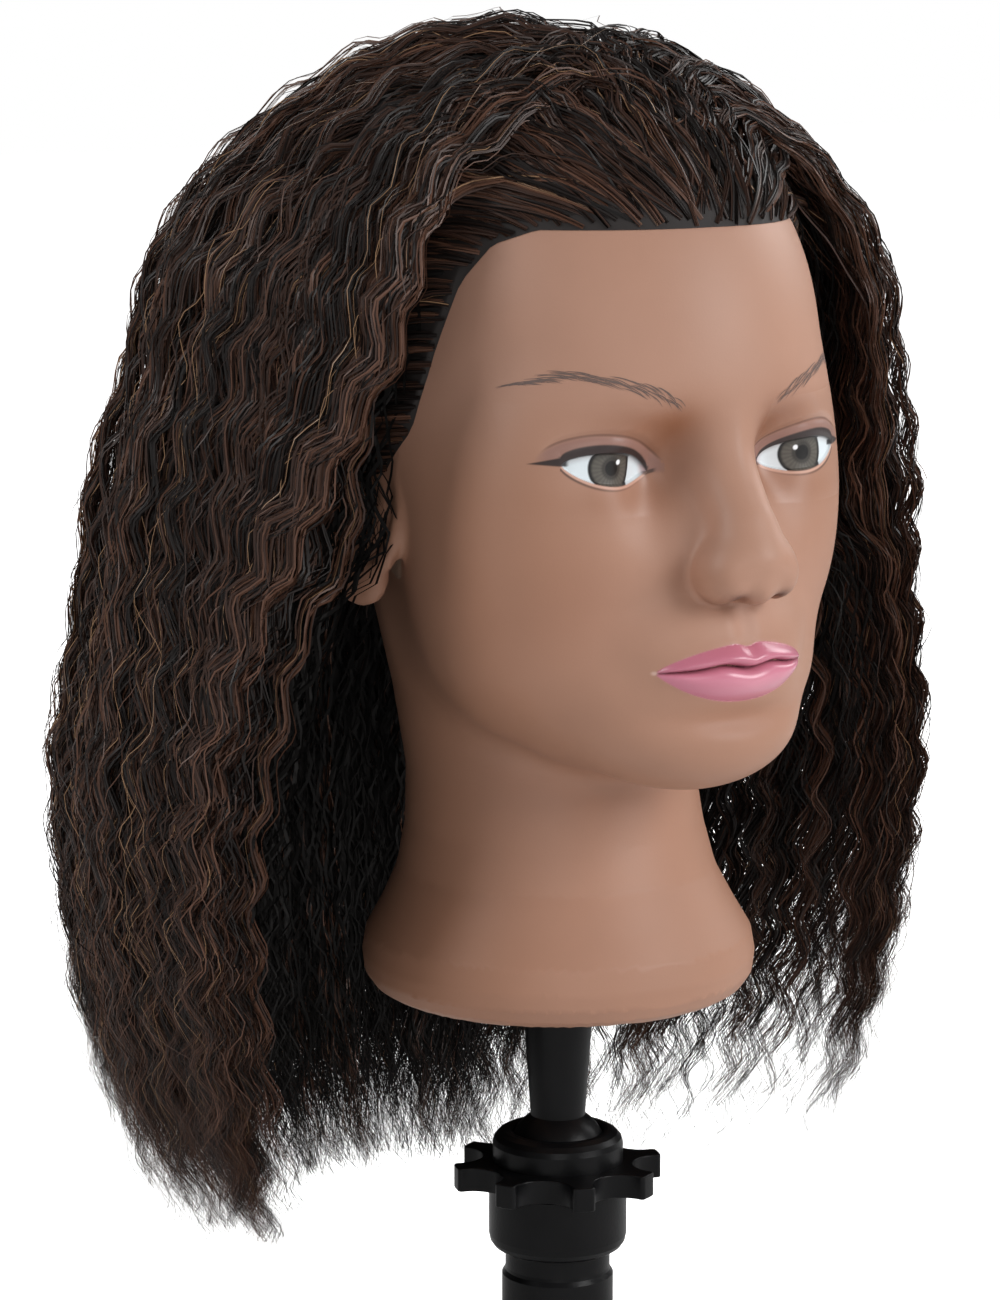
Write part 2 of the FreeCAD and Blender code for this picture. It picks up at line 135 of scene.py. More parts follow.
# ---- the shape of the head --------------------------------------------------------------------
# The head is one implicit surface: smooth unions of ellipsoids, then shallow relief added to them.
NECK_BOTTOM = 129.0
NECK_Z = np.array([129.0, 131.0, 135.0, 141.0, 148.0, 157.0, 168.0, 182.0, 200.0, 225.0, 255.0, 300.0])
NECK_R = np.array([55.0, 58.4, 61.2, 62.0, 60.8, 55.6, 50.2, 47.0, 45.4, 46.0, 48.0, 50.0])
NECK_Y = np.array([0.0, 0.0, 0.0, 0.0, 0.0, 0.4, 1.4, 2.6, 5.0, 12.0, 22.0, 30.0])

EYE_X = 34.3
EYE_HALF = 14.4
EYE_Z = 304.0
EYE_BOX = (13.0, 62.0, 288.0, 325.0)
LIP_BOX = (34.0, 227.0, 262.0)
EYE_FORM = -0.9
MOUTH_HALF = 25.7
MOUTH_Z = 246.4


def smooth_min(a, b, k):
    h = np.clip(0.5 + 0.5 * (b - a) / k, 0.0, 1.0)
    return b + (a - b) * h - k * h * (1.0 - h)


def smooth_max(a, b, k):
    return -smooth_min(-a, -b, k)


def ellipsoid(x, y, z, centre, radii):
    px = (x - centre[0]) / radii[0]
    py = (y - centre[1]) / radii[1]
    pz = (z - centre[2]) / radii[2]
    k0 = np.sqrt(px * px + py * py + pz * pz)
    k1 = np.sqrt((px / radii[0]) ** 2 + (py / radii[1]) ** 2 + (pz / radii[2]) ** 2)
    return k0 * (k0 - 1.0) / np.maximum(k1, 1e-6)


def rounded_cone(x, y, z, a, b, ra, rb):
    """Capsule whose radius changes evenly from one end to the other."""
    ba = np.subtract(b, a)
    t = ((x - a[0]) * ba[0] + (y - a[1]) * ba[1] + (z - a[2]) * ba[2]) / float(ba @ ba)
    t = np.clip(t, 0.0, 1.0)
    dx = x - a[0] - ba[0] * t
    dy = y - a[1] - ba[1] * t
    dz = z - a[2] - ba[2] * t
    return np.sqrt(dx * dx + dy * dy + dz * dz) - (ra + (rb - ra) * t)


def hill(x, z, cx, cz, wx, wz):
    return np.exp(-((x - cx) / wx) ** 2 - ((z - cz) / wz) ** 2)


def step(v, low, high):
    t = np.clip((v - low) / (high - low), 0.0, 1.0)
    return t * t * (3.0 - 2.0 * t)


# the mouth's three lines, by distance from the midline
def mouth_t(x):
    return np.clip(np.abs(x) / MOUTH_HALF, 0.0, 1.0)


def lip_seam(x):
    t = mouth_t(x)
    wave = 0.9 * np.exp(-((np.abs(x) - 9.0) / 5.0) ** 2) - 0.5 * np.exp(-(x / 4.0) ** 2)
    return MOUTH_Z - 1.6 * t ** 2 + wave


def lip_top(x):
    t = mouth_t(x)
    arch = (1.0 - t) ** 0.72 * (1.0 + 0.55 * t)
    return 244.9 + 8.4 * arch - 1.3 * np.exp(-(x / 2.7) ** 2)


def lip_bottom(x):
    t = mouth_t(x)
    return 244.8 - 9.2 * (1.0 - t ** 2.1) ** 0.85


# the eye's opening, by the coordinate that runs from -1 at the nose to 1 at the temple
def eye_t(x):
    return (np.abs(x) - EYE_X) / EYE_HALF


def eye_line(t):
    return EYE_Z + 0.2 + 1.7 * np.clip(t, -1.2, 1.6)


def lid_upper(t):
    k = np.clip(1.0 - t * t, 0.0, 1.0)
    return eye_line(t) + 5.2 * k ** 0.6 * (1.0 - 0.14 * t)


def lid_lower(t):
    k = np.clip(1.0 - t * t, 0.0, 1.0)
    return eye_line(t) - 5.0 * k ** 0.75 * (1.0 + 0.12 * t)


def crease(t):
    """Fold above the upper lid."""
    k = np.clip(1.0 - (t / 1.42) ** 2, 0.0, 1.0)
    return eye_line(t) - 0.4 + 10.6 * k ** 0.62


def neck(x, y, z):
    r = np.interp(z, NECK_Z, NECK_R)
    yc = np.interp(z, NECK_Z, NECK_Y)
    side = np.sqrt(x * x + (y - yc) ** 2) - r
    cap = np.maximum(NECK_BOTTOM - z, z - 300.0)
    return np.maximum(side * 0.92, cap)


def neck_hollow(x, y, z):
    """The space inside the neck, open at the bottom, where the foam and the socket sit."""
    r = np.maximum(np.interp(z, NECK_Z, NECK_R) - 5.2, 51.2 * (z < 140.0))
    yc = np.interp(z, NECK_Z, NECK_Y)
    side = np.sqrt(x * x + (y - yc) ** 2) - r
    return np.maximum(side * 0.92, z - 226.0)


def mass(x, y, z):
    """Skull, face, jaw and neck, with no features."""
    a = np.abs(x)
    d = ellipsoid(x, y, z, (0.0, 15.0, 340.0), (75.0, 87.0, 84.0))
    d = smooth_min(d, ellipsoid(x, y, z, (0.0, -25.0, 322.0), (65.0, 69.5, 84.0)), 18.0)
    d = smooth_min(d, ellipsoid(x, y, z, (0.0, -34.0, 276.0), (62.5, 58.0, 68.0)), 16.0)
    d = smooth_min(d, ellipsoid(a, y, z, (33.5, -51.0, 289.0), (26.5, 24.5, 49.0)), 14.0)
    d = smooth_min(d, ellipsoid(x, y, z, (0.0, -46.0, 240.5), (51.5, 49.5, 33.0)), 12.0)
    d = smooth_min(d, ellipsoid(x, y, z, (0.0, -71.0, 224.5), (33.0, 27.0, 19.5)), 10.0)
    d = smooth_min(d, ellipsoid(a, y, z, (38.0, -16.0, 254.0), (16.0, 30.0, 30.0)), 18.0)
    return smooth_min(d, neck(x, y, z), 11.0)


def features(x, y, z):
    """The whole head: the mass with the face worked into it."""
    a = np.abs(x)
    d = mass(x, y, z)
    front = step(-y, 40.0, 62.0)
    # hollows beside the bridge of the nose and round the eyes, and the soft forms of the cheeks
    form = -13.4 * hill(a, z, 18.6, 303.6, 12.2, 14.0)
    form += EYE_FORM * hill(a, z, 36.0, 304.0, 15.0, 12.0)
    form += 1.2 * hill(a, z, 27.0, 325.0, 19.0, 9.0)
    form += -1.2 * hill(a, z, 21.0, 281.0, 9.0, 12.0)
    form += -2.2 * hill(a, z, 24.5, 288.0, 13.0, 9.5)
    form += -0.8 * hill(a, z, 40.0, 252.0, 14.0, 14.0)
    form += -1.0 * hill(a, z, 58.0, 338.0, 12.0, 16.0)
    form += -1.1 * hill(a, z, 29.0, 245.0, 5.5, 7.0)
    form += -3.0 * hill(x, z, 0.0, 230.4, 19.0, 5.0)
    d = d - form * front
    # muzzle
    d = smooth_min(d, ellipsoid(x, y, z, (0.0, -76.0, 250.0), (30.0, 24.0, 21.0)), 9.0)
    # nose
    nose = rounded_cone(x, y, z, (0.0, -76.0, 321.0), (0.0, -97.5, 288.0), 8.8, 9.2)
    nose = smooth_min(nose, ellipsoid(x, y, z, (0.0, -101.3, 277.9), (12.4, 11.2, 9.9)), 7.0)
    nose = smooth_min(nose, ellipsoid(x, y, z, (0.0, -90.0, 277.0), (11.5, 12.0, 11.0)), 5.0)
    wing = ellipsoid(a, y, z, (9.4, -98.8, 272.6), (5.8, 9.6, 7.2))
    nose = smooth_min(nose, wing, 7.0)
    nose = smooth_min(nose, ellipsoid(x, y, z, (0.0, -102.0, 270.0), (4.4, 8.4, 5.2)), 4.0)
    d = smooth_min(d, nose, 2.6 + 5.6 * step(z, 277.0, 294.0))
    nostril = ellipsoid(a, y, z, (5.8, -101.5, 266.2), (2.9, 5.2, 3.0))
    d = smooth_max(d, -nostril, 1.2)
    # philtrum
    groove = step(z, 252.0, 255.5) * (1.0 - step(z, 260.0, 265.5))
    d = d + groove * front * (0.6 * np.exp(-(x / 3.2) ** 2) - 0.2 * np.exp(-((a - 5.4) / 2.4) ** 2))
    # lips
    t = mouth_t(x)
    inside = np.clip(1.0 - t ** 2, 0.0, 1.0)
    seam = lip_seam(x)
    top = lip_top(x)
    low = lip_bottom(x)
    su = np.clip((z - seam) / np.maximum(top - seam, 0.3), 0.0, 1.0)
    sl = np.clip((seam - z) / np.maximum(seam - low, 0.3), 0.0, 1.0)
    lips = 4.3 * inside ** 0.75 * np.sin(np.pi * su ** 0.75) ** 0.85
    lips += 3.8 * inside ** 0.8 * np.sin(np.pi * sl ** 0.72) ** 0.85
    lips += -1.1 * inside ** 0.5 * np.exp(-((z - seam) / 0.8) ** 2)
    lips += 0.25 * inside ** 0.5 * np.exp(-((z - top) / 0.7) ** 2)
    d = d - lips * front
    # eyes: a lid shell over a flat eyeball, open between the two lid lines
    te = eye_t(x)
    upper = lid_upper(te)
    lower = lid_lower(te)
    side = step(1.04 - np.abs(te), 0.0, 0.14)
    opening = step(upper - z, -0.1, 0.9) * step(z - lower, -0.1, 0.9) * side
    d = d + 0.85 * opening * front
    ends = step(1.4 - np.abs(te), 0.0, 0.45)
    fold = np.exp(-((z - crease(te)) / 1.3) ** 2) * ends
    d = d + 0.6 * fold * front
    d = d - 0.3 * np.exp(-((z - upper - 1.6) / 1.6) ** 2) * ends * front
    return d


def ears(x, y, z):
    """Both ears: a dished shell with a rolled rim, a lobe and an inner ridge."""
    a = np.abs(x)
    turn = math.radians(24.0)
    lean = math.radians(10.0)
    px = a - 61.5
    py = y - 7.0
    pz = z - 288.0
    ux = px * math.cos(turn) - py * math.sin(turn)
    uy = px * math.sin(turn) + py * math.cos(turn)
    vy = uy * math.cos(lean) + pz * math.sin(lean)
    vz = -uy * math.sin(lean) + pz * math.cos(lean)
    high = np.clip(vz / 30.0, -1.0, 1.0)
    width = 16.5 + 2.5 * high
    rim_r = np.sqrt((vy / width) ** 2 + (vz / 30.5) ** 2)
    plate = smooth_max(np.abs(ux - 5.0 - 2.2 * np.clip(rim_r - 0.5, 0, 1)) - 1.9, (rim_r - 1.0) * 15.0, 2.0)
    ring = np.sqrt(((rim_r - 0.9) * 15.0) ** 2 + (ux - 7.6) ** 2) - 2.5
    ring = np.where(vz < -18.0, ring + (-18.0 - vz) * 0.4, ring)
    ridge_r = np.sqrt(((vy - 2.0) / (width * 0.6)) ** 2 + ((vz + 1.0) / 19.0) ** 2)
    ridge = np.sqrt(((ridge_r - 0.9) * 9.5) ** 2 + (ux - 6.2) ** 2) - 1.9
    lobe = ellipsoid(ux, vy, vz, (5.2, -2.5, -24.5), (3.6, 8.5, 8.0))
    d = smooth_min(plate, ring, 1.5)
    d = smooth_min(d, ridge, 1.5)
    d = smooth_min(d, lobe, 3.0)
    tragus = ellipsoid(ux, vy, vz, (3.6, -13.0, -6.0), (4.0, 3.6, 5.6))
    return smooth_min(d, tragus, 2.0)


def under_patches(x, z):
    """1 where a finer piece of the face lies over the head, easing to 0 at its edge."""
    a = np.abs(x)
    eye = step(EYE_BOX[1] - a, 3.2, 5.0) * step(a - EYE_BOX[0], 3.2, 5.0)
    eye = eye * step(EYE_BOX[3] - z, 3.2, 5.0) * step(z - EYE_BOX[2], 3.2, 5.0)
    lip = step(LIP_BOX[0] - a, 3.2, 5.0) * step(LIP_BOX[2] - z, 3.2, 5.0) * step(z - LIP_BOX[1], 3.2, 5.0)
    return np.maximum(eye, 2.6 * lip)


def whole(x, y, z, carve=0.0):
    """The finished head, pushed in by carve where finer pieces lie over it."""
    d = features(x, y, z)
    beside = np.abs(x) > 55.0
    out = d + carve * under_patches(x, z) * step(-y, 30.0, 50.0)
    if np.any(beside):
        near = ears(x[beside], y[beside], z[beside])
        out[beside] = smooth_min(out[beside], near, 3.5)
    return smooth_max(out, -neck_hollow(x, y, z), 0.8)


def head(x, y, z):
    return whole(x, y, z, 0.8)


# ---- meshing ------------------------------------------------------------------------------------
def spaced(low, high, fine_low, fine_high, fine, coarse):
    """Grid positions that are close together in the middle stretch."""
    parts = []
    if fine_low > low:
        parts.append(np.linspace(low, fine_low, max(2, int((fine_low - low) / coarse)), endpoint=False))
    count = max(2, int((fine_high - fine_low) / fine))
    parts.append(np.linspace(fine_low, fine_high, count, endpoint=False))
    parts.append(np.linspace(fine_high, high, max(2, int((high - fine_high) / coarse)) + 1))
    return np.concatenate(parts)


def surface_net(f, xs, ys, zs):
    """Quads over the zero level of f, one vertex in each cell that the surface crosses."""
    nx, ny, nz = len(xs), len(ys), len(zs)
    field = np.empty((nx, ny, nz), np.float32)
    for i in range(0, nx, 16):
        gx, gy, gz = np.meshgrid(xs[i:i + 16], ys, zs, indexing="ij")
        field[i:i + 16] = f(gx.ravel(), gy.ravel(), gz.ravel()).reshape(gx.shape)
    inside = field < 0.0
    count = np.zeros((nx - 1, ny - 1, nz - 1), np.int8)
    for dx in (0, 1):
        for dy in (0, 1):
            for dz in (0, 1):
                count += inside[dx:nx - 1 + dx, dy:ny - 1 + dy, dz:nz - 1 + dz]
    cells = np.argwhere((count > 0) & (count < 8))
    index = -np.ones((nx - 1, ny - 1, nz - 1), np.int32)
    index[tuple(cells.T)] = np.arange(len(cells))
    total = np.zeros((len(cells), 3))
    hits = np.zeros(len(cells))
    for axis in range(3):
        others = [k for k in range(3) if k != axis]
        for p in (0, 1):
            for q in (0, 1):
                start = np.array(cells)
                start[:, others[0]] += p
                start[:, others[1]] += q
                end = start.copy()
                end[:, axis] += 1
                v0 = field[tuple(start.T)]
                v1 = field[tuple(end.T)]
                cross = (v0 < 0) != (v1 < 0)
                t = np.where(cross, v0 / np.where(cross, v0 - v1, 1.0), 0.0)
                a = np.stack([xs[start[:, 0]], ys[start[:, 1]], zs[start[:, 2]]], 1)
                b = np.stack([xs[end[:, 0]], ys[end[:, 1]], zs[end[:, 2]]], 1)
                total += np.where(cross[:, None], a + (b - a) * t[:, None], 0.0)
                hits += cross
    verts = total / np.maximum(hits, 1)[:, None]
    quads = []
    for axis in range(3):
        o1, o2 = [(1, 2), (2, 0), (0, 1)][axis]
        low = [slice(None)] * 3
        high = [slice(None)] * 3
        low[axis] = slice(0, field.shape[axis] - 1)
        high[axis] = slice(1, field.shape[axis])
        for k in (o1, o2):
            low[k] = slice(1, field.shape[k] - 1)
            high[k] = slice(1, field.shape[k] - 1)
        a = inside[tuple(low)]
        b = inside[tuple(high)]
        for sign, where in ((1, a & ~b), (-1, ~a & b)):
            e = np.argwhere(where)
            e[:, o1] += 1
            e[:, o2] += 1
            ring = []
            for p, q in ((-1, -1), (0, -1), (0, 0), (-1, 0)):
                c = e.copy()
                c[:, o1] += p
                c[:, o2] += q
                ring.append(index[tuple(c.T)])
            ring = np.stack(ring, 1)
            quads.append(ring if sign > 0 else ring[:, ::-1])
    return verts, np.concatenate(quads)


def gradient(f, p, h=0.05):
    x, y, z = p.T
    return np.stack([f(x + h, y, z) - f(x - h, y, z), f(x, y + h, z) - f(x, y - h, z),
                     f(x, y, z + h) - f(x, y, z - h)], 1) / (2.0 * h)


def settle(f, p, rounds=4, reach=0.8):
    """Moves points onto the surface of f, a little at a time."""
    p = p.copy()
    for _ in range(rounds):
        g = gradient(f, p)
        d = f(*p.T)
        move = -(d / np.maximum((g ** 2).sum(1), 0.05))[:, None] * g
        length = np.sqrt((move ** 2).sum(1))
        p += move * np.minimum(1.0, reach / np.maximum(length, 1e-9))[:, None]
    return p


# ---- paint ----------------------------------------------------------------------------------------
SKIN_TONE = linear(172, 131, 111)
# colour of the airbrushed make-up round the eyes, and of painted shade in the hollows of the face
AIRBRUSH_AND_SHADE = linear(140, 88, 58)
BLUSH = linear(166, 116, 92)
IRIS_X = 34.3
IRIS_Z = 304.6
IRIS_R = 7.3


def mix(base, other, amount):
    amount = np.clip(amount, 0.0, 1.0)[:, None]
    return base * (1.0 - amount) + other * amount


def band(v, low, high, soft=0.22):
    """1 between two limits with soft edges."""
    return step(v, low - soft, low + soft) * (1.0 - step(v, high - soft, high + soft))


def skin_colour(x, y, z):
    a = np.abs(x)
    front = step(-y, 20.0, 60.0)
    c = np.tile(SKIN_TONE, (len(x), 1))
    c = mix(c, BLUSH, 0.35 * hill(a, z, 46.0, 266.0, 17.0, 20.0) * front)
    # airbrushed make-up on the lids and under the eyes, and painted shade in the hollows beside the bridge
    # of the nose, beside the nose and nostrils and under the lower lip
    shade = 0.62 * hill(a, z, 15.5, 313.0, 6.5, 10.0) + 0.5 * hill(a, z, 27.0, 318.0, 15.0, 5.5)
    shade += 0.3 * hill(a, z, 18.0, 298.0, 6.0, 8.0) + 0.22 * hill(a, z, 34.0, 294.5, 16.0, 4.0)
    shade += 0.3 * hill(a, z, 17.0, 272.0, 5.0, 7.0) + 0.35 * hill(a, z, 7.0, 265.5, 4.5, 3.0)
    shade += 0.25 * hill(x, z, 0.0, 231.0, 17.0, 3.6)
    c = mix(c, AIRBRUSH_AND_SHADE, shade * front)
    # painted shade: the skin is made darker and warmer on the jaw and neck, most at their sides, and on the
    # sides of the face up to the eyes, where the hair and jaw shade it
    low = 1.0 - step(z, 222.0, 268.0)
    side = step(a, 26.0, 58.0)
    beside = 0.7 * side * (1.0 - step(z, 290.0, 330.0))
    c = mix(c, linear(152, 106, 80), 0.62 * np.maximum(low * (0.45 + 0.55 * side), beside))
    # painted shade: a dark spot at each nostril
    nostril_shade = hill(a, z, 7.6, 267.4, 2.5, 1.5) * step(-y, 98.0, 101.0)
    return mix(c, linear(60, 36, 28), np.minimum(0.85 * nostril_shade, 0.8))


def eye_colour(x, y, z):
    a = np.abs(x)
    t = eye_t(x)
    upper = lid_upper(t)
    lower = lid_lower(t)
    c = skin_colour(x, y, z)
    near = 1.0 - step(np.abs(t), 1.15, 1.5)
    # tinted lid between the liner and the crease
    lid = band(z, upper, crease(t) - 0.3, 0.8) * near
    c = mix(c, linear(128, 98, 96), 0.55 * lid)
    crease_line = band(z - crease(t), -0.35, 0.35, 0.3) * (1.0 - step(np.abs(t), 1.1, 1.35))
    c = mix(c, linear(84, 52, 44), 0.6 * crease_line)
    # white, iris and pupil
    open_eye = step(upper - z, -0.1, 0.25) * step(z - lower, -0.1, 0.25) * (np.abs(t) < 1.0)
    white = np.tile(linear(222, 230, 234), (len(x), 1))
    # painted shadow of the upper lid: the white is greyer just under it
    white = mix(white, linear(150, 140, 140), 0.55 * (1.0 - step(upper - z, 0.0, 2.6)))
    white = mix(white, linear(196, 150, 146), 0.7 * step(-t, 0.8, 1.0))
    r = np.hypot(a - IRIS_X, z - IRIS_Z)
    spoke = 0.5 + 0.5 * np.sin(np.arctan2(z - IRIS_Z, a - IRIS_X) * 26.0)
    iris = mix(np.tile(linear(96, 92, 85), (len(x), 1)), linear(62, 58, 54), 0.4 * spoke)
    iris = mix(iris, linear(28, 26, 26), step(r, IRIS_R - 1.5, IRIS_R - 0.5))
    iris = mix(iris, linear(44, 40, 38), 0.75 * (1.0 - step(r, 2.9, 3.9)))
    iris = mix(iris, linear(16, 14, 14), 1.0 - step(r, 2.0, 2.5))
    # painted shadow of the upper lid: the iris is darker just under it
    iris = mix(iris, linear(24, 22, 22), 0.6 * (1.0 - step(upper - z, 0.2, 2.8)))
    white = mix(white, iris, 1.0 - step(r, IRIS_R - 0.2, IRIS_R + 0.25))
    glint = 1.0 - step(np.hypot(a - IRIS_X + 2.4, z - IRIS_Z - 1.6), 0.55, 0.95)
    white = mix(white, linear(250, 252, 255), glint)
    c = mix(c, white, open_eye)
    # waterline and the line under the eye
    below = lower - z
    inner = np.abs(t) < 1.02
    c = mix(c, linear(214, 170, 152), 0.75 * band(below, 0.0, 0.75, 0.18) * inner)
    line = band(below, 0.85, 1.35 + 0.3 * t, 0.25) * inner
    c = mix(c, linear(66, 50, 48), (0.5 + 0.35 * t) * line)
    # liner over the eye, drawn out to a wing
    ink = linear(36, 32, 34)
    thick = 1.5 + 1.0 * step(t, -1.0, 0.6)
    liner = band(z - upper, -0.45, thick, 0.3) * (1.0 - step(np.abs(t), 1.0, 1.06))
    wing_z = eye_line(np.full_like(t, 0.9)) + 1.3 - (t - 0.9) * 1.6
    wing_half = 1.6 * np.clip((1.52 - t) / 0.62, 0.0, 1.0)
    wing = (1.0 - step(np.abs(z - wing_z), wing_half - 0.25, wing_half + 0.2)) * band(t, 0.86, 1.5, 0.04)
    corner = 1.0 - step(np.abs(z - eye_line(t) + 0.5 + (t + 1.0) * 6.0), 0.35, 0.8)
    corner = corner * band(t, -1.16, -0.93, 0.05)
    c = mix(c, ink, np.maximum(np.maximum(liner, wing * (wing_half > 0.05)), 0.8 * corner) * 0.93)
    return c


def lip_cover(x, z):
    """1 on the painted lips."""
    inside = step(MOUTH_HALF + 0.3 - np.abs(x), 0.0, 0.6)
    return step(lip_top(x) + 0.2 - z, -0.3, 0.3) * step(z - lip_bottom(x) + 0.2, -0.3, 0.3) * inside


def mouth_colour(x, y, z):
    c = skin_colour(x, y, z)
    seam = lip_seam(x)
    pink = np.tile(linear(200, 122, 142), (len(x), 1))
    # the middle of the lower lip is lighter, a painted highlight; the upper lip is darker and the seam
    # darker still, painted shade
    pink = mix(pink, linear(206, 136, 152), hill(x, z, 2.0, 240.5, 13.0, 3.2))
    pink = mix(pink, linear(182, 104, 122), 0.5 * step(z, seam, seam + 1.0))
    pink = mix(pink, linear(128, 66, 76), 0.75 * np.exp(-((z - seam) / 0.45) ** 2))
    c = mix(c, pink, lip_cover(x, z))
    # small pale spots at the corners of the mouth
    corner_spot = np.hypot(np.abs(x) - MOUTH_HALF - 0.4, (z - 244.9) * 1.2)
    return mix(c, linear(214, 184, 172), 0.55 * (1.0 - step(corner_spot, 0.3, 1.1)))


def front_y(x, z):
    """Where the front of the face lies, found by halving."""
    out = np.full(x.shape, -128.0)
    inn = np.full(x.shape, -40.0)
    for _ in range(17):
        middle = 0.5 * (out + inn)
        solid = features(x, middle, z) < 0.0
        inn = np.where(solid, middle, inn)
        out = np.where(solid, out, middle)
    return inn


def painted_material(name, roughness, **sockets):
    """Reads the painted colour from the mesh and breaks it up with a faint mottle and a fine grain."""
    m = plain_material(name, SKIN_TONE, roughness, **sockets)
    tree = m.node_tree
    shader = tree.nodes["Principled BSDF"]
    paint = tree.nodes.new("ShaderNodeAttribute")
    paint.attribute_name = "paint"
    place_node = tree.nodes.new("ShaderNodeTexCoord")
    noise = tree.nodes.new("ShaderNodeTexNoise")
    noise.inputs["Scale"].default_value = 34.0
    noise.inputs["Detail"].default_value = 3.0
    shade = tree.nodes.new("ShaderNodeMapRange")
    shade.inputs["To Min"].default_value = 0.94
    shade.inputs["To Max"].default_value = 1.06
    blend = tree.nodes.new("ShaderNodeVectorMath")
    blend.operation = "SCALE"
    grain = tree.nodes.new("ShaderNodeTexNoise")
    grain.inputs["Scale"].default_value = 1500.0
    bump = tree.nodes.new("ShaderNodeBump")
    bump.inputs["Strength"].default_value = 0.12
    bump.inputs["Distance"].default_value = 0.0002
    tree.links.new(place_node.outputs["Object"], noise.inputs["Vector"])
    tree.links.new(noise.outputs["Fac"], shade.inputs["Value"])
    tree.links.new(paint.outputs["Color"], blend.inputs[0])
    tree.links.new(shade.outputs["Result"], blend.inputs["Scale"])
    tree.links.new(blend.outputs["Vector"], shader.inputs["Base Color"])
    tree.links.new(place_node.outputs["Object"], grain.inputs["Vector"])
    tree.links.new(grain.outputs["Fac"], bump.inputs["Height"])
    tree.links.new(bump.outputs["Normal"], shader.inputs["Normal"])
    return m


# ---- head and face pieces ---------------------------------------------------------------------------
skin = painted_material("vinyl_skin", 0.5, Specular_IOR_Level=0.35)
eye_paint = painted_material("eye_paint", 0.4, Specular_IOR_Level=0.4)
lip_paint = painted_material("lip_paint", 0.27, Specular_IOR_Level=0.55)


def face_piece(name, verts, faces, colours, material):
    obj = mesh_object(name, verts, faces, "head", material)
    paint_vertices(obj, colours)
    normals = gradient(whole, np.asarray(verts, np.float64))
    normals /= np.maximum(np.linalg.norm(normals, axis=1), 1e-9)[:, None]
    obj.data.normals_split_custom_set_from_vertices(normals.tolist())
    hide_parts("face_skin")
    return obj


xs = spaced(-92, 92, -60, 60, 1.6, 2.2)
ys = spaced(-126, 106, -124, -56, 1.6, 2.3)
zs = spaced(126, 428, 206, 334, 1.6, 2.3)
verts, quads = surface_net(head, xs, ys, zs)
verts = settle(head, verts, 3, 1.0)
face_piece("head_skin", verts, quads, skin_colour(*verts.T), skin)


EYE_PITCH = 0.22
LIP_PITCH = 0.3
PATCH_LIFT = 0.06
PATCH_TUCK = 0.2
PATCH_HEM = 3.0


def patch(x0, x1, z0, z1, pitch):
    """Fine grid laid on the front of the face, with its edge tucked just under the head."""
    across = np.arange(x0, x1 + pitch / 2, pitch)
    upward = np.arange(z0, z1 + pitch / 2, pitch)
    gx, gz = np.meshgrid(across, upward, indexing="ij")
    edge = np.minimum(np.minimum(gx - x0, x1 - gx), np.minimum(gz - z0, z1 - gz))
    y = front_y(gx.ravel(), gz.ravel()).reshape(gx.shape)
    pts = np.stack([gx, y, gz], 2).reshape(-1, 3)
    out = gradient(features, pts)
    out /= np.linalg.norm(out, axis=1)[:, None]
    tuck = 1.0 - step(edge.ravel(), 0.0, PATCH_HEM)
    pts = pts + out * (PATCH_LIFT - PATCH_TUCK * tuck)[:, None]
    nx, nz = gx.shape
    base = (np.arange(nx - 1)[:, None] * nz + np.arange(nz - 1)[None, :]).ravel()
    return pts, np.stack([base, base + nz, base + nz + 1, base + 1], 1)


for side, name in ((-1, "right"), (1, "left")):
    low, high = sorted((side * EYE_BOX[0], side * EYE_BOX[1]))
    pts, faces = patch(low, high, EYE_BOX[2], EYE_BOX[3], EYE_PITCH)
    face_piece("eye_" + name, pts, faces, eye_colour(*pts.T), eye_paint)

pts, faces = patch(-LIP_BOX[0], LIP_BOX[0], LIP_BOX[1], LIP_BOX[2], LIP_PITCH)
colours = mouth_colour(*pts.T)
on_lip = lip_cover(pts[faces].mean(1)[:, 0], pts[faces].mean(1)[:, 2]) > 0.5
for name, chosen, material in (("lips", on_lip, lip_paint), ("mouth_surround", ~on_lip, skin)):
    used, local = np.unique(faces[chosen], return_inverse=True)
    face_piece(name, pts[used], local.reshape(-1, 4), colours[used], material)


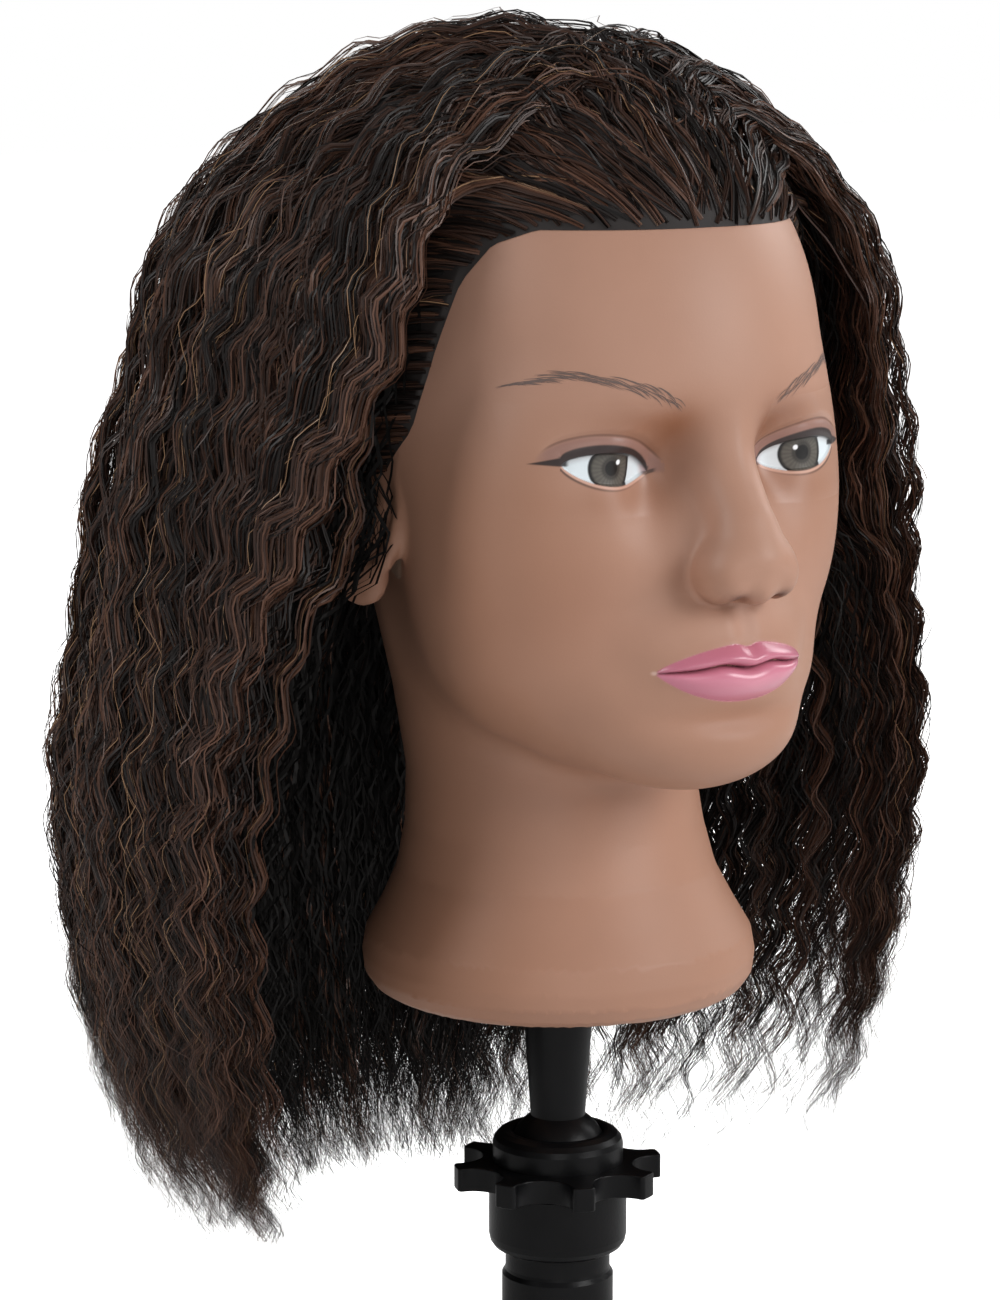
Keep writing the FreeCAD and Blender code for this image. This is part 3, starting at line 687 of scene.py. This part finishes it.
def brows():
    """Thin painted strokes that follow the brow and lean outward."""
    strokes = 84
    share = np.linspace(0.0, 1.0, strokes) + rng.uniform(-0.008, 0.008, strokes)
    x = np.interp(share, [0.0, 0.3, 0.65, 1.0], [18.0, 29.0, 44.0, 56.5])
    z = np.interp(share, [0.0, 0.2, 0.45, 0.7, 1.0], [324.0, 326.8, 330.2, 332.2, 328.6])
    tall = np.interp(share, [0.0, 0.15, 0.5, 0.8, 1.0], [2.6, 3.6, 2.8, 1.6, 0.6])
    lean = np.radians(np.interp(share, [0.0, 0.3, 0.7, 1.0], [40.0, 30.0, 10.0, -12.0]))
    lean = lean + rng.normal(0.0, 0.06, strokes)
    length = np.interp(share, [0.0, 0.5, 1.0], [5.0, 7.5, 5.5]) * rng.uniform(0.8, 1.15, strokes)
    z = z + rng.uniform(-0.5, 0.5, strokes) * tall
    along = np.linspace(-0.5, 0.5, 7)[None, :]
    px = x[:, None] + along * (length * np.cos(lean))[:, None]
    pz = z[:, None] + along * (length * np.sin(lean))[:, None] - 2.2 * along ** 2
    half = 0.11 * np.sin(np.pi * np.linspace(0.06, 0.94, 7))[None, :]
    nx = -np.sin(lean)[:, None] * half
    nz = np.cos(lean)[:, None] * half
    rows = np.stack([np.stack([px - nx, pz - nz], 2), np.stack([px + nx, pz + nz], 2)], 2).reshape(-1, 2)
    base = (np.arange(strokes)[:, None] * 7 + np.arange(6)[None, :]).ravel() * 2
    quads = np.stack([base, base + 1, base + 3, base + 2], 1)
    ink = plain_material("brow_paint", linear(104, 86, 80), 0.6)
    for side, name in ((-1, "right"), (1, "left")):
        y = front_y(rows[:, 0] * side, rows[:, 1]) - 0.16
        verts = np.stack([rows[:, 0] * side, y, rows[:, 1]], 1)
        obj = mesh_object("brow_" + name, verts, quads, "head", ink)
        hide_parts("face_skin")


brows()


# ---- hair ---------------------------------------------------------------------------------------
# Places in the hair are given by phi, degrees round from the back of the head towards its own left,
# and by level: the height up to LIFT, then LIFT plus degrees of elevation about the middle of the skull.
LIFT = 330.0
AXIS_LEVEL = np.array([20.0, 126.0, 200.0, 246.0, 296.0, 330.0, 420.0])
AXIS_Y = np.array([36.0, 35.0, 33.0, 31.0, 29.0, 25.0, 25.0])
OUTER_LEVEL = np.array([20.0, 36.0, 60.0, 86.0, 126.0, 166.0, 200.0, 246.0, 296.0, 330.0])
OUTER_R = np.array([100.0, 106.0, 117.0, 126.0, 135.0, 140.0, 141.0, 134.0, 126.0, 117.0])
MASS_DEPTH = 30.0
LINE_PHI = np.array([0.0, 60.0, 90.0, 104.0, 118.0, 127.0, 132.0, 137.0, 143.0, 151.0, 180.0])
LINE_Z = np.array([250.0, 252.0, 262.0, 286.0, 298.0, 312.0, 336.0, 357.0, 368.0, 372.5, 373.0])
# height of the tips by phi: on the outside of the mass, and near the neck
TIPS = np.array([(-130.0, 92.0, 80.0), (-117.0, 88.0, 76.0), (-107.0, 84.0, 72.0), (-92.0, 80.0, 66.0),
                 (-80.0, 82.0, 62.0), (-70.0, 92.0, 58.0), (-57.0, 112.0, 54.0), (-35.0, 84.0, 46.0),
                 (-17.0, 60.0, 41.0), (0.0, 48.0, 39.0), (22.0, 46.0, 40.0), (45.0, 56.0, 46.0),
                 (80.0, 70.0, 58.0), (100.0, 84.0, 70.0), (130.0, 110.0, 90.0)])
TIP_PHI, TIP_OUTER, TIP_INNER = TIPS.T
LOWEST_TIP = 37.0
STRAIGHT_ROOT = 12.0           # a lock starts to wave this far from its root
STRAND_STOP_Z = 20.0


def outer_radius(phi, level):
    rise = np.radians(np.clip(level - LIFT, 0.0, 90.0))
    dome = 103.0 + 14.0 * np.cos(rise) ** 5 - 7.0 * np.sin(rise) * np.cos(rise) * np.cos(np.radians(phi))
    return np.where(level > LIFT, dome, np.interp(level, OUTER_LEVEL, OUTER_R))


def place(phi, level, radius):
    """Point in millimetres at a radius from the middle line of the hair."""
    turn = np.radians(phi)
    rise = np.radians(np.clip(level - LIFT, 0.0, 90.0))
    flat = radius * np.cos(rise)
    y = np.interp(level, AXIS_LEVEL, AXIS_Y) + flat * np.cos(turn)
    return np.stack([flat * np.sin(turn), y, np.minimum(level, LIFT) + radius * np.sin(rise)], -1)


def polar(p):
    """The phi, level and radius of points."""
    level = np.minimum(p[..., 2], LIFT)
    y = p[..., 1] - np.interp(level, AXIS_LEVEL, AXIS_Y)
    flat = np.hypot(p[..., 0], y)
    over = np.maximum(p[..., 2] - LIFT, 0.0)
    level = level + np.degrees(np.arctan2(over, flat))
    return np.degrees(np.arctan2(p[..., 0], y)), level, np.hypot(flat, over)


SCALP_PHI = np.linspace(-180.0, 180.0, 91)
SCALP_LEVEL = np.linspace(226.0, 420.0, 98)


def scalp_table():
    """Radius of the bare head in every direction, found by halving the distance."""
    phi, level = np.meshgrid(SCALP_PHI, SCALP_LEVEL, indexing="ij")
    near = np.full(phi.shape, 10.0)
    far = np.full(phi.shape, 125.0)
    for _ in range(16):
        middle = 0.5 * (near + far)
        p = place(phi, level, middle).reshape(-1, 3)
        out = (mass(*p.T) > 0.0).reshape(phi.shape)
        far = np.where(out, middle, far)
        near = np.where(out, near, middle)
    return near


SCALP = scalp_table()


def scalp_radius(phi, level):
    u = np.clip((phi + 180.0) / 360.0 * (len(SCALP_PHI) - 1), 0, len(SCALP_PHI) - 1.001)
    v = (level - SCALP_LEVEL[0]) / (SCALP_LEVEL[-1] - SCALP_LEVEL[0]) * (len(SCALP_LEVEL) - 1)
    v = np.clip(v, 0, len(SCALP_LEVEL) - 1.001)
    i = u.astype(int)
    j = v.astype(int)
    a = u - i
    b = v - j
    return ((1 - a) * (1 - b) * SCALP[i, j] + a * (1 - b) * SCALP[i + 1, j]
            + (1 - a) * b * SCALP[i, j + 1] + a * b * SCALP[i + 1, j + 1])


def hairline_level(phi):
    """Level of the hairline at an angle, found on the bare head from its height."""
    want = np.interp(np.abs(phi), LINE_PHI, LINE_Z)
    level = want.copy()
    for _ in range(12):
        z = place(phi, level, scalp_radius(phi, level))[..., 2]
        level = np.clip(level + (want - z) * 0.5, 226.0, 419.0)
    return level


def radius_at(phi, level, depth):
    """Radius of a layer of the hair: depth 0 lies on the head, 1 is the outside of the mass."""
    outer = outer_radius(phi, level)
    inner = np.where(level > 300.0, scalp_radius(phi, level) + 1.5, 0.0)
    hang = outer - MASS_DEPTH
    blend = step(level, 250.0, 318.0)
    inner = np.maximum(hang * (1.0 - blend) + inner * blend, scalp_radius(phi, level) + 1.5)
    return inner + (outer - inner) * depth


def trace(roots, depth, back_bias, side_bias, fall, steps, stride):
    """Combs guide lines from their roots: back over the head first, then down."""
    p = roots.copy()
    lines = [p.copy()]
    run = 0.0
    for _ in range(steps - 1):
        phi, level, radius = polar(p)
        centre = np.stack([np.zeros(len(p)), np.interp(np.minimum(p[:, 2], LIFT), AXIS_LEVEL, AXIS_Y),
                           np.minimum(p[:, 2], LIFT)], 1)
        out = (p - centre) / radius[:, None]
        drop = np.full(len(p), min(0.12 + run / fall, 1.0))
        front = step(-p[:, 1], 15.0, 55.0) * step(np.abs(phi), 118.0, 140.0)
        beside_ear = step(0.0 - p[:, 1], 0.0, 34.0) * step(352.0 - p[:, 2], 0.0, 30.0)
        backward = back_bias * (max(1.0 - run / (fall * 1.7), 0.0) * (1.0 - front) + front)
        want = np.stack([p[:, 0] / 70.0 * 0.25 * (1.0 - drop) + side_bias * math.exp(-run / 160.0),
                         backward + 0.6 * beside_ear, -drop * (1.0 - front)], 1)
        along = want - (want * out).sum(1)[:, None] * out
        along /= np.maximum(np.linalg.norm(along, axis=1), 1e-6)[:, None]
        live = p[:, 2] > STRAND_STOP_Z
        p = p + along * stride * live[:, None]
        phi, level, radius = polar(p)
        run += stride
        target = radius_at(phi, level, depth * step(np.full(len(p), run), 0.0, 85.0))
        ease = 0.35 + 0.65 * step(np.full(len(p), run), 0.0, 40.0)
        radius = radius + (target - radius) * ease * live
        p = place(phi, level, radius)
        lines.append(p.copy())
    return np.stack(lines, 1)


def scattered_roots(count):
    """Random places on the haired part of the head."""
    phi = rng.uniform(-180.0, 180.0, count * 4)
    level = LIFT + np.degrees(np.arcsin(rng.uniform(-0.55, 1.0, count * 4)))
    level = np.where(level < LIFT, LIFT + (level - LIFT) * 2.2, level)
    keep = level > hairline_level(phi) + 1.0
    phi = phi[keep][:count]
    level = level[keep][:count]
    return phi, level


def hairline_roots(count):
    """Places along the crisp hairline, from ear to ear over the forehead."""
    share = np.linspace(-1.0, 1.0, count) + rng.uniform(-0.6, 0.6, count) / count
    phi = np.sign(share) * (180.0 - np.abs(share) ** 1.05 * 76.0)
    level = hairline_level(phi) + rng.uniform(0.2, 5.0, count)
    return phi, level


def ribbons(lines, width, twist):
    """Flat tapering strips along the lines: verts and quads."""
    n, s, _ = lines.shape
    along = np.gradient(lines, axis=1)
    along /= np.maximum(np.linalg.norm(along, axis=2), 1e-6)[..., None]
    centre = np.array([0.0, 30.0, 0.0])
    out = lines - centre
    out[..., 2] = np.maximum(lines[..., 2] - LIFT, 0.0)
    side = np.cross(along, out)
    side /= np.maximum(np.linalg.norm(side, axis=2), 1e-6)[..., None]
    out = np.cross(side, along)
    a = twist[:, None, None]
    wide = side * np.cos(a) + out * np.sin(a)
    t = np.linspace(0.0, 1.0, s)
    taper = np.clip((1.0 - t) / 0.3, 0.12, 1.0)[None, :, None]
    half = width[:, None, None] * 0.5 * taper * wide
    verts = np.stack([lines - half, lines + half], 2).reshape(-1, 3)
    base = (np.arange(n)[:, None] * s + np.arange(s - 1)[None, :]).ravel() * 2
    quads = np.stack([base, base + 1, base + 3, base + 2], 1)
    return verts, quads


def resample(lines, live_steps, count):
    """Same lines with the stopped ends cut off and the points spread evenly."""
    n, s, _ = lines.shape
    at = np.linspace(0.0, 1.0, count)[None, :] * (live_steps[:, None] - 1)
    i = np.clip(at.astype(int), 0, s - 2)
    f = (at - i)[..., None]
    rows = np.arange(n)[:, None]
    return lines[rows, i] * (1 - f) + lines[rows, i + 1] * f


def lock_strands(guides, per_lock, spread, amp, wave, phase, tilt, frizz):
    """Strands of crimped locks: each guide carries a bundle that waves together and frays at its end."""
    lines = np.repeat(guides, per_lock, axis=0)
    along = np.gradient(lines, axis=1)
    seg = np.linalg.norm(np.diff(lines, axis=1), axis=2)
    run = np.concatenate([np.zeros((len(lines), 1)), np.cumsum(seg, axis=1)], 1)
    total = np.maximum(run[:, -1:], 1.0)
    along /= np.maximum(np.linalg.norm(along, axis=2), 1e-6)[..., None]
    out = lines - np.array([0.0, 30.0, 0.0])
    out[..., 2] = np.maximum(lines[..., 2] - LIFT, 0.0)
    side = np.cross(along, out)
    side /= np.maximum(np.linalg.norm(side, axis=2), 1e-6)[..., None]
    out = np.cross(side, along)
    m = len(lines)
    t = run / total
    rep = lambda v: np.repeat(v, per_lock)[:, None]
    angle = rng.uniform(0.0, 2.0 * np.pi, m)[:, None] + run * 0.006 * rng.normal(0.0, 1.0, m)[:, None]
    far = np.sqrt(rng.uniform(0.02, 1.0, m))[:, None]
    body = np.clip(0.22 + run / 110.0, 0.0, 1.0) * (1.0 - 0.45 * t ** 2)
    reach = rep(spread) * far * body
    swing = rep(amp) * step(run, STRAIGHT_ROOT, STRAIGHT_ROOT + 45.0) * (0.75 + 0.5 * t)
    level_run = (lines[..., 2] > 250.0).sum(1)
    level_run = run[np.arange(m), np.clip(level_run, 0, run.shape[1] - 1)][:, None]
    theta = 2.0 * np.pi * (run - level_run) / rep(wave) + rep(phase) + rng.normal(0.0, 0.2, m)[:, None]
    theta = theta + 0.35 * np.sin(run / 37.0 + rng.uniform(0, 6.28, m)[:, None])
    bend = swing * (np.sin(theta) + 0.18 * np.sin(2.0 * theta + 1.0))
    lift = rep(tilt)
    curl = 0.35 * swing * np.cos(theta)
    fray = rep(frizz) * rng.gamma(1.4, 0.7, m)[:, None] * step(t, 0.15, 1.0)
    k = rng.uniform(0.5, 1.4, (4, m))[..., None]
    ph = rng.uniform(0.0, 6.28, (4, m))[..., None]
    wander_side = fray * (np.sin(run / 19.0 * k[0] + ph[0]) + 0.6 * np.sin(run / 9.0 * k[1] + ph[1]))
    wander_out = fray * (0.7 * np.sin(run / 21.0 * k[2] + ph[2]) + 0.5 * np.sin(run / 10.0 * k[3] + ph[3]))
    off_side = reach * np.cos(angle) + bend * np.cos(lift) + curl * np.sin(lift) + wander_side
    off_out = reach * np.sin(angle) * 0.7 + bend * np.sin(lift) * 0.8 + curl * np.cos(lift) + wander_out
    return lines + side * off_side[..., None] + out * off_out[..., None]
# ---- hair pieces ----------------------------------------------------------------------------------
HAIR_TONES = {
    # the darkest tone colours the strands inside the mass, as painted shade
    "inner_shade": ((0.0045, 0.0035, 0.003), 0.75),
    "dark": ((0.011, 0.0075, 0.0065), 0.42),
    "mid": ((0.043, 0.0215, 0.0152), 0.4),
    "warm": ((0.104, 0.049, 0.031), 0.38),
    "gold": ((0.34, 0.2, 0.11), 0.34),
}
ZONES = ("hair_front", "hair_crown", "hair_side_right", "hair_rear_right", "hair_nape", "hair_rear_left",
         "hair_side_left")
TONES = list(HAIR_TONES)
PIECE_QUADS = 90000
LOCK_STEPS = 96
LOCK_STRIDE = 5.6
LOCK_POINTS = 104
FILL_STEPS = 90
FILL_STRIDE = 5.8
FILL_POINTS = 80


def zone_of(p):
    """Which CAD zone of hair a point belongs to."""
    x, y, z = p.T
    low = np.where(y < 22.0, np.where(x < 0.0, 2, 6), np.where(x < -52.0, 3, np.where(x > 52.0, 5, 4)))
    return np.where(z > 373.0, np.where(y < -20.0, 0, 1), low)


def hair_pieces(tone, verts, quads):
    """Splits strips by zone and makes one piece of each part."""
    colour, roughness = HAIR_TONES[tone]
    material = plain_material("hair_" + tone, colour, roughness, Specular_IOR_Level=0.25)
    zone = zone_of(verts[quads].mean(1))
    for i, node in enumerate(ZONES):
        mine = quads[zone == i]
        for part in range(0, len(mine), PIECE_QUADS):
            chunk = mine[part:part + PIECE_QUADS]
            used, faces = np.unique(chunk, return_inverse=True)
            name = "%s_%s_%d" % (node, tone, part // PIECE_QUADS)
            obj = mesh_object(name, verts[used], faces.reshape(chunk.shape), "head", material)
            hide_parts(node)


def guide_tips(lines, depth, extra):
    """How many points of each line lie above the height where its tip belongs."""
    phi, _, _ = polar(lines)
    inner = np.interp(phi, TIP_PHI, TIP_INNER)
    outer = np.interp(phi, TIP_PHI, TIP_OUTER)
    outward = (np.clip(depth, 0.0, 1.0) ** 1.3)[:, None]
    end = inner + (outer - inner) * outward + extra[:, None]
    return np.clip((lines[..., 2] > np.maximum(end, LOWEST_TIP)).sum(1), 8, lines.shape[1])


strips = {tone: [] for tone in HAIR_TONES}


def add_strips(tone, lines, width):
    twist = rng.uniform(-1.1, 1.1, len(lines))
    strips[tone].append(ribbons(lines, width, twist))


def sparse(phi):
    """1 where the hair is thin, on the head's own left, 0 where it is full."""
    return step(phi, 20.0, 75.0)


def make_locks(roots, depth, fall, per_lock, spread, gold_share, width, frizz, least_back=0.75, bright=1.0):
    """One set of crimped locks, added to the strips of every tone."""
    phi, level = roots
    n = len(phi)
    side_bias = rng.normal(0.0, 0.16, n)
    back_bias = rng.uniform(least_back, 1.1, n)
    start = place(phi, level, scalp_radius(phi, level) + 0.6)
    lines = trace(start, depth, back_bias, side_bias, fall, LOCK_STEPS, LOCK_STRIDE)
    end_phi = polar(lines[:, -1])[0]
    thin = sparse(end_phi)
    extra = rng.gamma(1.3, 16.0 + 18.0 * thin, n) - 24.0
    keep = rng.uniform(0, 1, n) > 0.35 * thin
    lines, extra, depth, end_phi = lines[keep], extra[keep], depth[keep], end_phi[keep]
    n = len(lines)
    lines = resample(lines, guide_tips(lines, depth, extra), LOCK_POINTS)
    wave = 24.5 + 1.8 * np.sin(end_phi * 0.06) + rng.normal(0.0, 0.5, n)
    phase = 2.4 * np.sin(end_phi * 0.09 + 1.0) + 1.2 * np.sin(end_phi * 0.23) + rng.normal(0.0, 0.7, n)
    amp = rng.uniform(1.5, 2.9, n)
    tilt = rng.normal(0.55, 0.35, n)
    spreads = np.full(n, spread) * rng.uniform(0.7, 1.3, n)
    strands = lock_strands(lines, per_lock, spreads, amp, wave, phase, tilt, np.full(n, frizz))
    # a lock has one tone, and a few of its strands are a tone lighter, darker or gold
    # painted light: locks ending on the head's right and back get the lighter tones more often, as painted
    # highlights, and bright below 1 makes the lighter tones rarer
    sunny = 1.0 - 0.6 * step(end_phi, -40.0, 50.0)
    lit = (rng.uniform(0, 1, n) < bright * (0.42 + 0.3 * sunny)).astype(int)
    lit = lit + (rng.uniform(0, 1, n) < bright * (0.1 + 0.3 * sunny))
    shift = rng.choice([-1, 0, 0, 0, 0, 1], n * per_lock)
    tone = TONES.index("dark") + np.clip(np.repeat(lit, per_lock) + shift, 0, 2)
    tone = np.where(rng.uniform(0, 1, n * per_lock) < gold_share, TONES.index("gold"), tone)
    for i, key in enumerate(TONES):
        mine = tone == i
        if mine.any():
            wide = rng.uniform(0.75, 1.25, mine.sum()) * width * (0.6 if key == "gold" else 1.0)
            add_strips(key, strands[mine], wide)


def fill_inside(count):
    """Near-black strands inside the mass, which stop light from coming through it; they are darker than the
    outer hair, as painted shade.
    """
    phi, level = scattered_roots(count)
    n = len(phi)
    depth = rng.uniform(0.03, 0.5, n)
    back_bias = rng.uniform(0.6, 1.0, n)
    side_bias = rng.normal(0.0, 0.2, n)
    start = place(phi, level, scalp_radius(phi, level) + 0.4)
    lines = trace(start, depth, back_bias, side_bias, 70.0, FILL_STEPS, FILL_STRIDE)
    keep = rng.uniform(0, 1, n) > 0.8 * sparse(polar(lines[:, -1])[0])
    lines = lines[keep]
    n = len(lines)
    extra = rng.gamma(1.3, 12.0, n) - 14.0 + 80.0 * sparse(polar(lines[:, -1])[0])
    lines = resample(lines, guide_tips(lines, depth[keep], extra), FILL_POINTS)
    wave = rng.uniform(22, 27, n)
    phase = rng.uniform(0, 6.28, n)
    tilt = rng.normal(0.5, 0.6, n)
    strands = lock_strands(lines, 1, np.full(n, 1.0), np.full(n, 2.4), wave, phase, tilt, np.full(n, 0.4))
    add_strips("inner_shade", strands, rng.uniform(0.7, 1.3, n))


thinner = 1.0
fill_inside(int(3000 * thinner))

# locks that start at the hairline and sweep back over the rest
roots = hairline_roots(int(400 * thinner))
depth = rng.uniform(0.45, 1.0, len(roots[0])) ** 0.7
# bright=0.6 gives these locks the lighter tones less often, as painted shade on the front and top
make_locks(roots, depth, 95.0, 18, 2.8, 0.02, 0.5, 1.2, bright=0.6)

# locks from all over the scalp, the higher ones nearer the outside
roots = scattered_roots(int(600 * thinner))
high = step(roots[1], 300.0, 390.0)
depth = np.clip(0.3 + 0.7 * high + rng.normal(0, 0.16, len(high)), 0.15, 1.06)
make_locks(roots, depth, 75.0, 18, 3.4, 0.02, 0.5, 1.6, least_back=0.05)

# single hairs that stand away from the rest
roots = scattered_roots(int(640 * thinner))
depth = rng.uniform(0.8, 1.07, len(roots[0]))
make_locks(roots, depth, 85.0, 3, 6.0, 0.16, 0.34, 3.2, least_back=0.1)

for tone, parts in strips.items():
    offset = 0
    all_verts = []
    all_quads = []
    for verts, quads in parts:
        all_verts.append(verts)
        all_quads.append(quads + offset)
        offset += len(verts)
    hair_pieces(tone, np.concatenate(all_verts), np.concatenate(all_quads))


# ---- scalp under the hair -------------------------------------------------------------------------
CROWN_LEVEL = 419.5


def scalp_piece(columns=240, rows=60):
    """Thin dark layer from the hairline up to the crown."""
    phi = np.linspace(-180.0, 180.0, columns + 1)
    low = hairline_level(phi)
    share = np.linspace(0.0, 1.0, rows)[None, :]
    level = low[:, None] + (CROWN_LEVEL - low[:, None]) * share
    wide = np.repeat(phi[:, None], rows, axis=1)
    lift = 0.25 + 1.0 * step(share, 0.0, 0.05)
    verts = place(wide, level, scalp_radius(wide, level) + lift).reshape(-1, 3)
    base = (np.arange(columns)[:, None] * rows + np.arange(rows - 1)[None, :]).ravel()
    quads = np.stack([base, base + rows, base + rows + 1, base + 1], 1)
    dark = plain_material("scalp_dark", (0.012, 0.008, 0.007), 0.7)
    obj = mesh_object("scalp_roots", verts, quads, "head", dark)
    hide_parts("scalp_cap")


scalp_piece()


# ---- materials of the parts that keep their CAD shape ----------------------------------------------
# dark shade, light shade, roughness, size of the mottling, depth and size of the grain
black = mottled_material("black_plastic", (0.0022, 0.0022, 0.0025), (0.004, 0.004, 0.0045),
                         0.34, 60.0, 0.15, 900.0, Specular_IOR_Level=0.16)
nylon = mottled_material("grey_nylon", (0.10, 0.10, 0.10), (0.14, 0.14, 0.135), 0.5, 80.0, 0.1, 700.0)
steel = mottled_material("zinc_steel", (0.42, 0.42, 0.43), (0.52, 0.52, 0.53),
                         0.3, 120.0, 0.05, 900.0, Metallic=1.0)
rubber = mottled_material("black_rubber", (0.012, 0.012, 0.012), (0.02, 0.02, 0.02),
                          0.72, 90.0, 0.3, 1200.0)
foam = mottled_material("rigid_foam", (0.22, 0.13, 0.085), (0.30, 0.18, 0.12), 0.85, 140.0, 0.6, 1500.0)
by_slot = {"black_plastic": black, "grey_nylon": nylon, "steel": steel, "black_rubber": rubber,
           "rigid_foam": foam}
slot_of = {row["node"]: row["material_slot"] for row in frame["record"]["subparts"]}
for node, obj in frame["nodes"].items():
    finish = by_slot.get(slot_of.get(node))
    if finish is not None:
        obj.data.materials.clear()
        obj.data.materials.append(finish)

# ---- floor, light and camera ------------------------------------------------------------------------
WHITE = (1.0, 1.0, 1.0, 1.0)
FLOOR_HALF = 6.0
FLOOR_GLOW = 1.1              # what the camera alone sees, so that the floor meets the backdrop
AMBIENT = 0.17


def floor_material():
    m = plain_material("pale_floor", (0.86, 0.86, 0.86), 0.9)
    floor_tree = m.node_tree
    shader = floor_tree.nodes["Principled BSDF"]
    floor_rays = floor_tree.nodes.new("ShaderNodeLightPath")
    glow = floor_tree.nodes.new("ShaderNodeMath")
    glow.operation = "MULTIPLY"
    glow.inputs[1].default_value = FLOOR_GLOW
    floor_tree.links.new(floor_rays.outputs["Is Camera Ray"], glow.inputs[0])
    floor_tree.links.new(glow.outputs[0], shader.inputs["Emission Strength"])
    shader.inputs["Emission Color"].default_value = WHITE
    return m


floor_mesh = bpy.data.meshes.new("floor")
corners = [(x * FLOOR_HALF, y * FLOOR_HALF, 0.0) for x, y in ((-1, -1), (1, -1), (1, 1), (-1, 1))]
floor_mesh.from_pydata(corners, [], [(0, 1, 2, 3)])
floor_mesh.materials.append(floor_material())
floor = bpy.data.objects.new("floor", floor_mesh)
floor.location.z = -0.0005
bpy.context.scene.collection.objects.link(floor)

world = bpy.data.worlds.new("studio")
bpy.context.scene.world = world
world.use_nodes = True
tree = world.node_tree
ambient = tree.nodes["Background"]
ambient.inputs["Color"].default_value = WHITE
ambient.inputs["Strength"].default_value = AMBIENT
backdrop = tree.nodes.new("ShaderNodeBackground")
backdrop.inputs["Color"].default_value = WHITE
backdrop.inputs["Strength"].default_value = 1.0
rays = tree.nodes.new("ShaderNodeLightPath")
choose = tree.nodes.new("ShaderNodeMixShader")
tree.links.new(rays.outputs["Is Camera Ray"], choose.inputs[0])
tree.links.new(ambient.outputs[0], choose.inputs[1])
tree.links.new(backdrop.outputs[0], choose.inputs[2])
tree.links.new(choose.outputs[0], tree.nodes["World Output"].inputs["Surface"])
bpy.context.scene.view_settings.view_transform = "Standard"


def soft_light(name, place_m, size, power, target=(0.0, 0.0, 0.26)):
    lamp = bpy.data.lights.new(name, "AREA")
    lamp.size = size
    lamp.energy = power
    obj = bpy.data.objects.new(name, lamp)
    bpy.context.scene.collection.objects.link(obj)
    obj.location = place_m
    obj.rotation_euler = (Vector(target) - Vector(place_m)).to_track_quat("-Z", "Y").to_euler()


soft_light("key", (0.95, -1.75, 1.1), 1.0, 31.0)
soft_light("front", (-1.1, -1.9, 0.9), 1.0, 8.0)
soft_light("left", (-1.9, 0.35, 1.35), 0.8, 18.0)
soft_light("right", (1.7, 0.2, 1.2), 1.0, 14.0)
soft_light("rear", (0.2, 1.8, 1.4), 1.2, 9.0)

# The camera stands to the head's right of its face, a little above the middle, with a long lens.
TURN = math.radians(32.5)
PITCH = math.radians(10.0)
DISTANCE = 1.340
AIM_Z = 0.236
AIM_LEFT = 0.01843
LENS = 154.4
right = Vector((math.cos(TURN), -math.sin(TURN), 0.0))
aim = Vector((0.0, 0.0, AIM_Z)) - right * AIM_LEFT
back = Vector((-math.sin(TURN) * math.cos(PITCH), -math.cos(TURN) * math.cos(PITCH), math.sin(PITCH)))
lens = bpy.data.cameras.new("camera")
lens.lens = LENS
lens.sensor_width = 36.0
lens.sensor_fit = "HORIZONTAL"
camera = bpy.data.objects.new("camera", lens)
camera.location = aim + back * DISTANCE
camera.rotation_euler = (-back).to_track_quat("-Z", "Y").to_euler()
bpy.context.scene.collection.objects.link(camera)
bpy.context.scene.camera = camera
